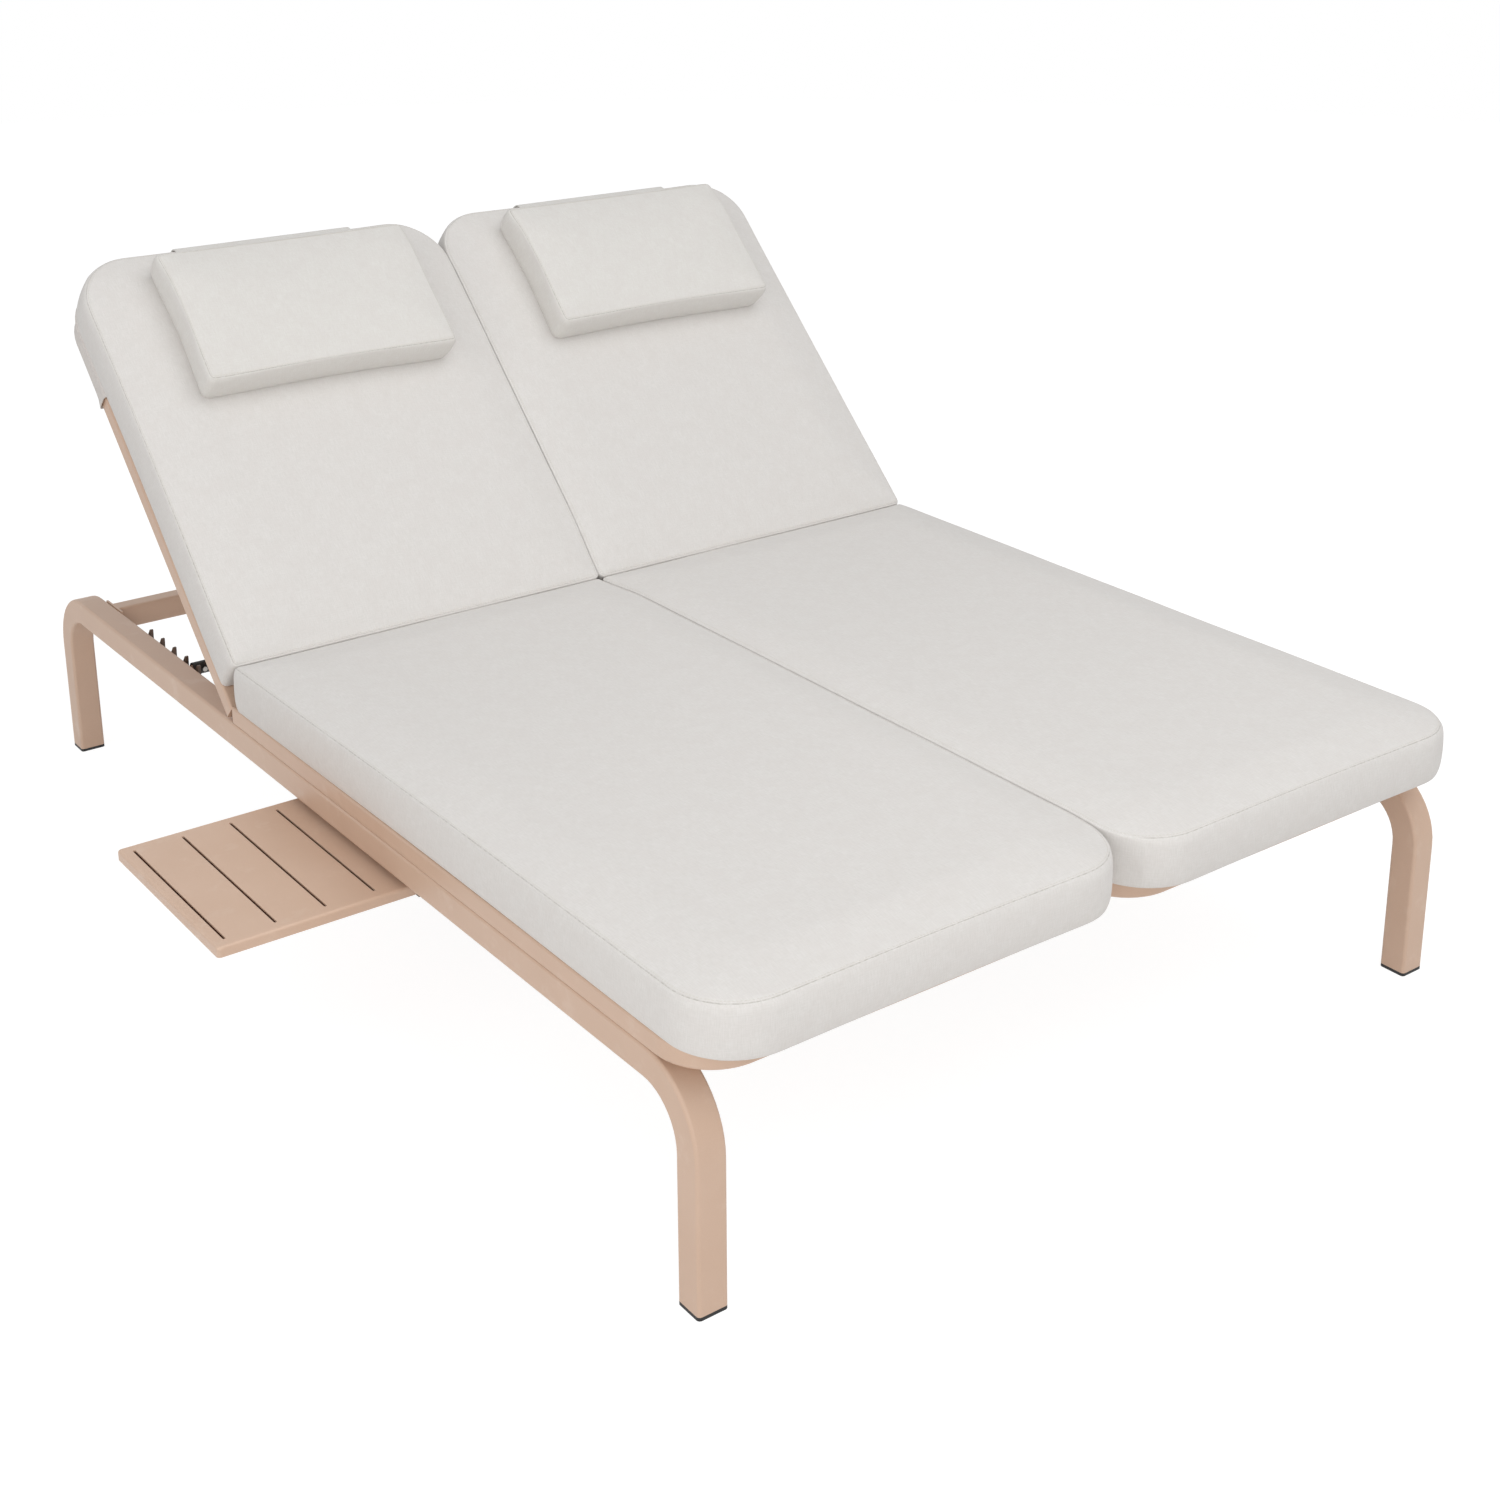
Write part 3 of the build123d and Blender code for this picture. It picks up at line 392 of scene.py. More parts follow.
def linen_material(name, light, dark, shade):
    """Woven cover cloth with painted shade in the open seam; the weave follows the piece's own UV map, in
    metres.
    """
    material, w, shader = new_material(name, 0.92)
    place = w.node("ShaderNodeTexCoord").outputs["UV"]
    weave = use_group(w, LINEN, place, Yarn=0.0011)
    tone = w.mix(weave.outputs["Streaks"], dark, light)
    cloud = w.ramp(weave.outputs["Clouds"], 0.0, 1.0, 0.0, 0.30)
    # Painted shade in the open seam: the seam attribute darkens the cloth towards a darker linen, broken up
    # by noise
    seam = w.node("ShaderNodeAttribute", attribute_name="seam_painted_shade").outputs["Fac"]
    seam = w.math("MULTIPLY", seam, w.ramp(w.noise(place, 190.0, 1.0), 0.40, 0.60, 0.45, 1.0))
    w.join(w.mix(seam, w.mix(cloud, tone, shade), SEAM_SHADE_COLOUR), shader.inputs["Base Color"])
    w.join(w.ramp(weave.outputs["Streaks"], 0.0, 1.0, 0.96, 0.86), shader.inputs["Roughness"])
    shader.inputs["Sheen Weight"].default_value = 0.12
    shader.inputs["Sheen Roughness"].default_value = 0.5
    shader.inputs["Specular IOR Level"].default_value = 0.25
    add_bump(w, shader, weave.outputs["Height"], 0.35, 0.0004)
    return material


def coat_material(name, base, pale, dark, roughness=0.42):
    """Powder-coated metal."""
    material, w, shader = new_material(name, roughness)
    place = w.node("ShaderNodeTexCoord").outputs["Object"]
    coat = use_group(w, COAT, place, Grain=900.0)
    tone = w.mix(coat.outputs["Tone"], dark, base)
    worn = w.ramp(coat.outputs["Handling"], 0.0, 1.0, 0.0, 0.22)
    w.join(w.mix(worn, tone, pale), shader.inputs["Base Color"])
    w.join(w.ramp(coat.outputs["Handling"], 0.0, 1.0, roughness + 0.04, roughness - 0.05),
           shader.inputs["Roughness"])
    shader.inputs["Specular IOR Level"].default_value = 0.7
    add_bump(w, shader, coat.outputs["Height"], 0.12, 0.0003)
    return material


def plastic_material(name, colour, roughness):
    """Moulded plastic with a fine matt grain."""
    material, w, shader = new_material(name, roughness)
    place = w.node("ShaderNodeTexCoord").outputs["Object"]
    coat = use_group(w, COAT, place, Grain=1500.0)
    lighter = tuple(min(1.0, part * 1.5 + 0.004) for part in colour[:3]) + (1.0,)
    w.join(w.mix(coat.outputs["Tone"], colour, lighter), shader.inputs["Base Color"])
    w.join(w.ramp(coat.outputs["Handling"], 0.0, 1.0, roughness, roughness - 0.12),
           shader.inputs["Roughness"])
    add_bump(w, shader, coat.outputs["Height"], 0.2, 0.0002)
    return material


def steel_material(name):
    """Stainless fasteners with turned marks."""
    material, w, shader = new_material(name, 0.34, 1.0)
    place = w.node("ShaderNodeTexCoord").outputs["Object"]
    lines = w.noise(w.stretch(place, (60.0, 2400.0, 2400.0)), 1.0, 2.0)
    w.join(w.mix(lines, srgb(150, 147, 143), srgb(196, 193, 189)), shader.inputs["Base Color"])
    w.join(w.ramp(lines, 0.3, 0.7, 0.26, 0.42), shader.inputs["Roughness"])
    add_bump(w, shader, lines, 0.08, 0.0001)
    return material


def thread_material(name, colour, dark):
    """Sewing thread with a fine twist."""
    material, w, shader = new_material(name, 0.75)
    place = w.node("ShaderNodeTexCoord").outputs["Object"]
    twist = w.noise(place, 1800.0, 1.0)
    w.join(w.mix(twist, dark, colour), shader.inputs["Base Color"])
    w.join(w.ramp(twist, 0.3, 0.7, 0.66, 0.82), shader.inputs["Roughness"])
    return material


LINEN_LIGHT = srgb(226, 223, 220)
LINEN_DARK = srgb(218, 215, 211)
LINEN_SHADE = srgb(217, 212, 208)
# Darker colour of the painted shade in the open seams
SEAM_SHADE_COLOUR = srgb(182, 178, 171)
sand_coat = coat_material("sand_powder_coat", srgb(207, 177, 155), srgb(216, 191, 171), srgb(203, 172, 149))
tray_coat = coat_material("tray_powder_coat", srgb(209, 179, 157), srgb(217, 192, 172), srgb(205, 174, 151))
pan_coat = coat_material("tray_pan_coat", srgb(190, 132, 104), srgb(202, 148, 120), srgb(180, 122, 95))
brown_coat = coat_material("brown_rack_coat", srgb(96, 75, 62), srgb(130, 108, 92), srgb(78, 60, 49), 0.5)
black_plastic = plastic_material("black_moulded_plastic", srgb(16, 16, 16), 0.6)
steel = steel_material("stainless_fasteners")
seat_linen = linen_material("seat_cover_linen", LINEN_LIGHT, LINEN_DARK, LINEN_SHADE)
pillow_linen = linen_material("pillow_cover_linen", srgb(226, 224, 220), srgb(219, 216, 211), LINEN_SHADE)
hood_linen = linen_material("hood_linen", srgb(225, 220, 216), srgb(212, 206, 201), srgb(205, 198, 193))
thread = thread_material("cover_thread", srgb(224, 220, 213), srgb(203, 198, 189))

FINISHES = {
    "frame": sand_coat, "tray": tray_coat, "rack": brown_coat, "black_plastic": black_plastic,
    "steel": steel, "cushion": seat_linen, "pillow": pillow_linen, "hood": hood_linen,
}


def finish_frame():
    """Give every carried-over part of the frame its finish."""
    for part in frame["record"]["subparts"]:
        obj = frame["nodes"][part["node"]]
        material = FINISHES[part["material_slot"]]
        if not obj.material_slots:
            obj.data.materials.append(material)
        for place in obj.material_slots:
            place.material = material


# Box cushions

class Outline:
    """Rounded rectangle seen from above. Pressed sides lie against a neighbour; the others are drawn in."""

    def __init__(self, x_range, y_range, foot_bend, head_bend, pull=0.0, pressed=()):
        self.x0, self.x1 = x_range
        self.y0, self.y1 = y_range
        self.foot_bend, self.head_bend = foot_bend, head_bend
        self.pull = pull
        self.pressed = pressed

    def pressed_share(self, x, y):
        """1 along a side that lies against a neighbour, 0 along the others, blended at corners."""
        if not self.pressed:
            return 0.0
        reach = {"x0": x - self.x0, "x1": self.x1 - x, "y0": y - self.y0, "y1": self.y1 - y}
        touching = min(reach[side] for side in self.pressed)
        free = min(reach[side] for side in reach if side not in self.pressed)
        return ease(unit((free - touching) / 0.03 + 0.5))

    def bend_at(self, y):
        """Radius of the corners in this half."""
        return self.foot_bend if y < (self.y0 + self.y1) / 2 else self.head_bend

    def core(self, x, y):
        """Nearest point of the rectangle that the corner arcs are centred on."""
        bend = self.bend_at(y)
        return Vector((min(max(x, self.x0 + bend), self.x1 - bend),
                       min(max(y, self.y0 + bend), self.y1 - bend)))

    def rounded(self, x, y, inset):
        """A point of a square-cornered panel, moved so that the panel's corners are round."""
        bend = self.bend_at(y) - inset
        centre = self.core(x, y)
        across, along = (x - centre.x) / bend, (y - centre.y) / bend
        return centre + bend * Vector((across * math.sqrt(max(1 - along * along / 2, 0)),
                                       along * math.sqrt(max(1 - across * across / 2, 0))))

    def ring_point(self, x, y, inset):
        """Point at this inset from the outline, straight out from a point near the edge."""
        centre = self.core(x, y)
        out = (Vector((x, y)) - centre).normalized()
        if out.length < 0.5:
            return Vector((x, y))
        free = 1 - self.pressed_share(x, y)
        if inset < 0:
            inset *= free
        point = centre + out * (self.bend_at(y) - inset)
        if abs(out.x) > abs(out.y):
            share = (point.y - self.y0) / (self.y1 - self.y0)
        else:
            share = (point.x - self.x0) / (self.x1 - self.x0)
        pull = self.pull * free * (1 - unit(inset / PANEL_MARGIN))
        return point - out * pull * math.sin(math.pi * unit(share)) ** 2

    def inset_of(self, x, y):
        """Distance of a point from the outline, positive inside it."""
        bend, centre = self.bend_at(y), self.core(x, y)
        across, along = min(x - self.x0, self.x1 - x), min(y - self.y0, self.y1 - y)
        if across < bend and along < bend:
            return bend - (Vector((x, y)) - centre).length
        return min(across, along)

    def girth(self, x, y):
        """Length of the outline from the foot end of its straight right side to a point near it."""
        centre = self.core(x, y)
        turn = math.atan2(y - centre.y, x - centre.x) % math.tau
        foot, head = self.foot_bend, self.head_bend
        side = self.y1 - self.y0 - foot - head
        top = self.x1 - self.x0 - 2 * head
        bottom = self.x1 - self.x0 - 2 * foot
        quarter = math.pi / 2
        if turn < 1e-6 or turn > math.tau - 1e-6:
            return centre.y - self.y0 - foot
        if turn < quarter - 1e-6:
            return side + head * turn
        if turn < quarter + 1e-6:
            return side + head * quarter + self.x1 - head - centre.x
        if turn < math.pi - 1e-6:
            return side + head * turn + top
        if turn < math.pi + 1e-6:
            return side + head * math.pi + top + self.y1 - head - centre.y
        if turn < 3 * quarter - 1e-6:
            return 2 * side + head * math.pi + top + foot * (turn - math.pi)
        if turn < 3 * quarter + 1e-6:
            return 2 * side + (head + foot / 2) * math.pi + top + centre.x - self.x0 - foot
        return 2 * side + (head + foot / 2) * math.pi + top + bottom + foot * (turn - 3 * quarter)


def crown_share(outline, x, y, shoulder):
    """Share of the crown's height that a panel has at a point; twins that meet hold each other's edges up."""
    inset = max(outline.inset_of(x, y), 0.0)
    slow = 1 - (1 - min(inset / shoulder, 1)) ** 2
    quick = 0.45 * (1 - math.exp(-inset / 0.007)) + 0.55 * slow
    pressed = outline.pressed_share(x, y)
    share = quick + (slow - quick) * pressed
    ends = unit(min(y - outline.y0, outline.y1 - y) / MIDDLE_FADE)
    return share + (1 - share) * MIDDLE_LIFT * pressed * ease(ends)


def end_lines(inset, bends, cell):
    """Places of a panel's grid lines, measured in from one end, close together in the corners."""
    marks = [inset]
    for bend in sorted(set(bends)):
        first = marks[-1]
        count = max(2 if bend - first < 0.004 else 3, round((bend - first) / cell))
        marks += [first + (bend - first) * (step + 1) / count for step in range(count)]
    return marks


def all_lines(low, high, first, last, cell):
    """Grid lines from one end to the other."""
    near = [low + mark for mark in first]
    far = [high - mark for mark in reversed(last)]
    count = max(1, round((far[0] - near[-1]) / cell))
    between = [near[-1] + (far[0] - near[-1]) * step / count for step in range(1, count)]
    return near + between + far


def rounded_panel(name, outline, inset, cell):
    """Flat panel with round corners, as a grid."""
    bends = (outline.foot_bend, outline.head_bend)
    across = end_lines(inset, bends, cell)
    lines_x = all_lines(outline.x0, outline.x1, across, across, cell)
    lines_y = all_lines(outline.y0, outline.y1, end_lines(inset, bends[:1], cell),
                        end_lines(inset, bends[1:], cell), cell)
    deselect()
    columns, rows = len(lines_x) - 1, len(lines_y) - 1
    bpy.ops.mesh.primitive_grid_add(x_subdivisions=columns, y_subdivisions=rows, size=2)
    panel = bpy.context.object
    panel.name = panel.data.name = name
    panel.data.uv_layers.active.name = "weave"
    for vertex in panel.data.vertices:
        column = round((vertex.co.x + 1) / 2 * columns)
        row = round((vertex.co.y + 1) / 2 * rows)
        vertex.co.xy = outline.rounded(lines_x[column], lines_y[row], inset)
    return panel


def add_rings(obj, outline, steps, rise=None):
    """Extrude the panel's edge through these insets and heights, some of which follow the crown's rise.

    Gives each ring's vertices.
    """
    edit(obj, "EDGE")
    bpy.ops.mesh.select_all(action="SELECT")
    bpy.ops.mesh.region_to_loop()
    rings = []
    for inset, height, *risen in steps:
        bpy.ops.mesh.extrude_edges_move()
        mesh = bmesh.from_edit_mesh(obj.data)
        mesh.verts.index_update()
        ring = [vertex for vertex in mesh.verts if vertex.select]
        for vertex in ring:
            point = outline.ring_point(vertex.co.x, vertex.co.y, inset)
            vertex.co = (point.x, point.y, height + (rise(point.x, point.y) if risen else 0))
        rings.append([vertex.index for vertex in ring])
        bmesh.update_edit_mesh(obj.data)
    bpy.ops.object.mode_set(mode="OBJECT")
    return rings


def mark(obj, name, places, weight=1.0):
    """Vertex group of these places."""
    group = obj.vertex_groups.get(name) or obj.vertex_groups.new(name=name)
    group.add(list(places), weight, "REPLACE")


def box_cushion(name, outline, low, side, crown, shoulder, cell, bulge, tuck=0.0):
    """Box cushion: crowned top, seam, border that rolls over and swells, flat bottom that may be drawn in."""
    obj = rounded_panel(name, outline, PANEL_MARGIN, cell)
    count = len(obj.data.vertices)
    bottom = obj.copy()
    bottom.data = obj.data.copy()
    bpy.context.collection.objects.link(bottom)
    for vertex in bottom.data.vertices:
        vertex.co.z = low
    bottom.data.flip_normals()

    def rise(x, y):
        return crown * crown_share(outline, x, y, shoulder)

    top = low + side
    for vertex in obj.data.vertices:
        vertex.co.z = top + rise(vertex.co.x, vertex.co.y)
    seam_low = low + 0.0024
    topstitch = [(STITCH_INSET + 0.0010, top, True), (STITCH_INSET, top - 0.0008, True),
                 (STITCH_INSET - 0.0009, top, True)]
    seam = [(SEAM_INSET + 0.0008, top - 0.0001, True), (SEAM_INSET, top - SEAM_DEPTH, True),
            (SEAM_INSET - 0.0008, top - 0.0005, True)]
    roll = [(0.0002, top - 0.0018, True), (-bulge * 0.58, top - 0.0066, True)]
    border = [(-bulge * math.sin(math.pi * share) ** 0.5, seam_low + (top - seam_low) * share)
              for share in (0.80, 0.62, 0.45, 0.28, 0.12)]
    under = [(0.0002, seam_low), (0.0011, low + 0.0004), (PANEL_MARGIN, low)]
    rings = add_rings(obj, outline, topstitch + seam + roll + border + under, rise)
    sewn = len(topstitch + seam)
    mark(obj, "topstitch", rings[1])
    mark(obj, "seam", rings[4])
    mark(obj, "border", [place for ring in rings[sewn:-2] for place in ring])
    mark(obj, "held", range(count), 0.0)
    for ring in rings[:sewn + 1] + rings[-4:-2]:
        mark(obj, "held", ring, SEWN_HOLD)
    for ring in rings[-2:]:
        mark(obj, "held", ring, 1.0)
    mark(bottom, "held", range(count), 1.0)
    pick(obj)
    bottom.select_set(True)
    bpy.ops.object.join()
    edit(obj)
    bpy.ops.mesh.select_all(action="SELECT")
    bpy.ops.mesh.remove_doubles(threshold=0.00002)
    bpy.ops.mesh.normals_make_consistent(inside=False)
    bpy.ops.object.mode_set(mode="OBJECT")
    middle = Vector(((outline.x0 + outline.x1) / 2, (outline.y0 + outline.y1) / 2))
    half = Vector((outline.x1 - outline.x0, outline.y1 - outline.y0)) / 2
    for vertex in obj.data.vertices:
        drawn = tuck * (1 - unit((vertex.co.z - low) / side)) ** 2
        vertex.co.x = middle.x + (vertex.co.x - middle.x) * (1 - drawn / half.x)
        vertex.co.y = middle.y + (vertex.co.y - middle.y) * (1 - drawn / half.y)
    return obj


def swell(obj):
    """Fill the cover with a short cloth simulation in which no point moves far."""
    before = [vertex.co.copy() for vertex in obj.data.vertices]
    cloth = obj.modifiers.new("filling", "CLOTH")
    cloth.settings.quality = 5
    cloth.settings.mass = 0.3
    cloth.settings.tension_stiffness = 25
    cloth.settings.compression_stiffness = 25
    cloth.settings.shear_stiffness = 12
    cloth.settings.bending_stiffness = 1.5
    cloth.settings.use_pressure = True
    cloth.settings.uniform_pressure_force = FILL_PRESSURE
    cloth.settings.effector_weights.gravity = 0
    cloth.settings.vertex_group_mass = "held"
    cloth.collision_settings.use_collision = False
    cloth.point_cache.frame_start, cloth.point_cache.frame_end = 1, FILL_FRAMES
    for step in range(1, FILL_FRAMES + 1):
        SCENE.frame_set(step)
    pick(obj)
    bpy.ops.object.modifier_apply(modifier="filling")
    SCENE.frame_set(1)
    for vertex, start in zip(obj.data.vertices, before):
        moved = vertex.co - start
        if moved.length > FILL_REACH:
            vertex.co = start + moved.normalized() * FILL_REACH


def press(obj, outline):
    """Keep the sides that lie against a neighbour flat."""
    for vertex in obj.data.vertices:
        if "x1" in outline.pressed:
            vertex.co.x = min(vertex.co.x, outline.x1)
        if "y1" in outline.pressed:
            vertex.co.y = min(vertex.co.y, outline.y1)
        if "y0" in outline.pressed:
            vertex.co.y = max(vertex.co.y, outline.y0)


def loosen(obj, outline, seed):
    """Small unevenness of a filled cover: broad dents, and puckers that run away from the seams."""
    border = obj.vertex_groups["border"].index
    moves = []
    for vertex in obj.data.vertices:
        x, y, z = vertex.co
        girth = outline.girth(x, y)
        inset = outline.inset_of(x, y)
        on_border = any(group.group == border and group.weight > 0.5 for group in vertex.groups)
        if not on_border and vertex.normal.z < -0.5:
            moves.append(Vector())
            continue
        dents = noise.noise(Vector((x * 7, y * 7, z * 9 + seed)))
        waves = noise.noise(Vector((girth * 34, z * 9, seed + 5)))
        near = 1.0 if on_border else math.exp(-max(inset - 0.002, 0) / 0.016) * unit(inset / 0.004)
        moves.append(vertex.normal * (DENT * dents + PUCKER * waves * near))
    for vertex, move in zip(obj.data.vertices, moves):
        vertex.co += move


def paint_seam_shade(obj, outline):
    """Attribute of painted shade: 1 in the open seam, fading out beside it and where a neighbour covers it.
    """
    seam = obj.vertex_groups["seam"].index
    layer = obj.data.attributes.new("seam_painted_shade", "FLOAT", "POINT")
    for vertex in obj.data.vertices:
        share = max((group.weight for group in vertex.groups if group.group == seam), default=0.0)
        if share > 0:
            covered = outline.pressed_share(vertex.co.x, vertex.co.y)
            layer.data[vertex.index].value = share * (1 - covered)


def lay_weave(obj, outline):
    """UV map in metres: straight on the panels, round the outline and up on the border."""
    mesh = obj.data
    border = obj.vertex_groups["border"].index
    weights = [max((group.weight for group in vertex.groups if group.group == border), default=0.0)
               for vertex in mesh.vertices]
    layer = mesh.uv_layers["weave"]
    whole = outline.girth(outline.x1, outline.y0 + outline.foot_bend - 1e-5)
    for face in mesh.polygons:
        places = [mesh.vertices[place].co for place in face.vertices]
        if sum(weights[place] for place in face.vertices) / len(places) > 0.9:
            turns = [outline.girth(place.x, place.y) for place in places]
            spread = max(turns) - min(turns)
            spots = [(turn + (whole if spread > 1 and turn < whole / 2 else 0), place.z)
                     for turn, place in zip(turns, places)]
        else:
            spots = [(place.x, place.y) for place in places]
        for loop, spot in zip(face.loop_indices, spots):
            layer.data[loop].uv = spot


def loop_points(obj, outline, group_name):
    """Places and normals of one sewn line, in order round the cushion."""
    group = obj.vertex_groups[group_name].index
    found = []
    for vertex in obj.data.vertices:
        if any(item.group == group and item.weight > 0.99 for item in vertex.groups):
            girth = outline.girth(vertex.co.x, vertex.co.y)
            found.append((girth, vertex.co.copy(), vertex.normal.copy()))
    found.sort(key=lambda item: item[0])
    return [item[1:] for item in found]


def one_stitch():
    """Short thread that dips at both ends, modelled once."""
    deselect()
    bpy.ops.mesh.primitive_cylinder_add(vertices=6, radius=THREAD, depth=STITCH_LENGTH * 0.6,
                                        end_fill_type="NGON", rotation=(0, math.pi / 2, 0))
    bpy.ops.object.transform_apply(location=False, rotation=True, scale=True)
    obj = bpy.context.object
    for way in (1, -1):
        mesh = edit(obj, "FACE")
        for face in mesh.faces:
            face.select_set(face.normal.x * way > 0.9)
        bpy.ops.mesh.extrude_region_move(TRANSFORM_OT_translate={
            "value": (way * STITCH_LENGTH * 0.2, 0, -THREAD * 0.9)})
        bpy.ops.transform.resize(value=(1, 0.45, 0.45))
        bpy.ops.object.mode_set(mode="OBJECT")
    return obj


def sew(name, points, template):
    """Row of stitches along a closed line of places and normals."""
    lengths = [0.0]
    for place in range(len(points)):
        step = points[(place + 1) % len(points)][0] - points[place][0]
        lengths.append(lengths[-1] + step.length)
    shape = [vertex.co.copy() for vertex in template.data.vertices]
    sides = [tuple(face.vertices) for face in template.data.polygons]
    count = round(lengths[-1] / STITCH_PITCH)
    vertices, faces = [], []
    segment = 0
    for number in range(count):
        target = (number + 0.5) * lengths[-1] / count
        while lengths[segment + 1] < target:
            segment += 1
        here, there = points[segment], points[(segment + 1) % len(points)]
        share = (target - lengths[segment]) / (lengths[segment + 1] - lengths[segment])
        along = (there[0] - here[0]).normalized()
        up = here[1].lerp(there[1], share)
        up = (up - along * up.dot(along)).normalized()
        turn = Matrix((along, up.cross(along), up)).transposed()
        centre = here[0].lerp(there[0], share) + up * STITCH_LIFT
        first = len(vertices)
        vertices += [centre + turn @ corner for corner in shape]
        faces += [tuple(first + corner for corner in side) for side in sides]
    data = bpy.data.meshes.new(name)
    data.from_pydata(vertices, [], faces)
    obj = bpy.data.objects.new(name, data)
    bpy.context.collection.objects.link(obj)
    data.materials.append(thread)
    smooth(obj, 60)
    return obj


def finish_cushion(obj, outline, material, seed, template):
    """Fill, refine, sew and cover one left cushion; gives it and its stitches."""
    swell(obj)
    press(obj, outline)
    apply_modifier(obj, "refine", "SUBSURF", levels=1, render_levels=1)
    loosen(obj, outline, seed)
    press(obj, outline)
    # Painted shade along the open seam
    paint_seam_shade(obj, outline)
    lay_weave(obj, outline)
    stitching = sew(obj.name + "_stitching", loop_points(obj, outline, "topstitch"), template)
    obj.data.materials.append(material)
    pick(obj)
    bpy.ops.object.shade_smooth()
    return obj, stitching


def make_seat_cushions(template):
    """Long cushions of the seats."""
    outline = Outline(SEAT_X, SEAT_Y, CUSHION_BEND, SQUARE_BEND, CUSHION_PULL, pressed=("x1", "y1"))
    obj = box_cushion("left_seat_cushion", outline, SEAT_LOW, CUSHION_SIDE, CUSHION_CROWN,
                      CUSHION_SHOULDER, CUSHION_CELL, CUSHION_BULGE)
    for piece in finish_cushion(obj, outline, seat_linen, 3.0, template):
        settle(piece, "seat_cushion")


def back_outline():
    """Outline of the left back cushion, which the hood's rim follows too."""
    return Outline(BACK_X, BACK_Y, SQUARE_BEND, CUSHION_BEND, CUSHION_PULL, pressed=("x1", "y0"))


def make_back_cushions(template):
    """Cushions of the backrests."""
    outline = back_outline()
    obj = box_cushion("left_back_cushion", outline, BACK_LOW, CUSHION_SIDE, CUSHION_CROWN,
                      CUSHION_SHOULDER, CUSHION_CELL, CUSHION_BULGE)
    for piece in finish_cushion(obj, outline, seat_linen, 11.0, template):
        lean_back(piece)
        settle(piece, "back_cushion")


def make_head_pillows(template):
    """Head pillows, whose upper ends the straps draw down."""
    outline = Outline(PILLOW_X, PILLOW_Y, PILLOW_BEND, PILLOW_BEND, PILLOW_PULL)
    obj = box_cushion("left_head_pillow", outline, PILLOW_LOW, PILLOW_SIDE, PILLOW_CROWN,
                      PILLOW_SHOULDER, PILLOW_CELL, PILLOW_BULGE, PILLOW_TUCK)
    for vertex in obj.data.vertices:
        share = unit((vertex.co.y - PILLOW_Y[1] + PILLOW_DROP_REACH) / PILLOW_DROP_REACH)
        drop = PILLOW_DROP * ease(share) * (vertex.co.z - PILLOW_LOW) / PILLOW_SIDE
        vertex.co -= Vector((0, drop * 0.6, drop))
    for piece in finish_cushion(obj, outline, pillow_linen, 19.0, template):
        lean_back(piece)
        settle(piece, "head_pillow", RIGHT_PILLOW_SLIDE)


def make_cushions():
    """Every cushion and pillow, each with its row of stitches."""
    template = one_stitch()
    make_seat_cushions(template)
    make_back_cushions(template)
    make_head_pillows(template)
    bpy.data.objects.remove(template)


def settle(piece, kind, slide=0.0):
    """Attach a left piece and its right twin to their bodies, in place of the plain solids."""
    twin = right_copy(piece, slide)
    for side, obj in (("left", piece), ("right", twin)):
        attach(obj, "base" if kind == "seat_cushion" else "backrest_" + side)
        if not obj.name.endswith("stitching"):
            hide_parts(kind + "_" + side)


# Straps and hoods

def ribbon(name, x_range, path, columns):
    """Strip of cloth that follows a path of (y, z) points."""
    deselect()
    bpy.ops.mesh.primitive_grid_add(x_subdivisions=columns, y_subdivisions=len(path) - 1, size=2)
    obj = bpy.context.object
    obj.name = obj.data.name = name
    lengths = [0.0]
    for first, second in zip(path, path[1:]):
        lengths.append(lengths[-1] + math.dist(first, second))
    spots = {}
    for vertex in obj.data.vertices:
        share = (vertex.co.x + 1) / 2
        row = round((vertex.co.y + 1) / 2 * (len(path) - 1))
        x = x_range[0] + (x_range[1] - x_range[0]) * share
        vertex.co = (x, path[row][0], path[row][1])
        spots[vertex.index] = (x, lengths[row])
    layer = obj.data.uv_layers.active
    layer.name = "weave"
    for loop in obj.data.loops:
        layer.data[loop.index].uv = spots[loop.vertex_index]
    return obj, lengths[-1]


def rounded_path(corners, radius, step):
    """Points along a path of straight runs whose corners are eased by this radius."""
    spline = [Vector(corners[0])]
    for before, corner, after in zip(corners, corners[1:], corners[2:]):
        before, corner, after = Vector(before), Vector(corner), Vector(after)
        reach = min(radius, (corner - before).length * 0.45, (after - corner).length * 0.45)
        start = corner + (before - corner).normalized() * reach
        end = corner + (after - corner).normalized() * reach
        spline += [start.lerp(corner, share).lerp(corner.lerp(end, share), share)
                   for share in (0, 0.25, 0.5, 0.75, 1)]
    spline.append(Vector(corners[-1]))
    points = [spline[0]]
    for first, second in zip(spline, spline[1:]):
        count = max(1, round((second - first).length / step))
        points += [first.lerp(second, (number + 1) / count) for number in range(count)]
    return [tuple(point) for point in points]


def thicken(obj, thick, offset):
    """Live modifiers that give a sheet its thickness and eased hems."""
    cloth = obj.modifiers.new("cloth", "SOLIDIFY")
    cloth.thickness = thick
    cloth.offset = offset
    hem = obj.modifiers.new("hem", "BEVEL")
    hem.width = HEM
    hem.segments = 2
    hem.angle_limit = math.radians(60)


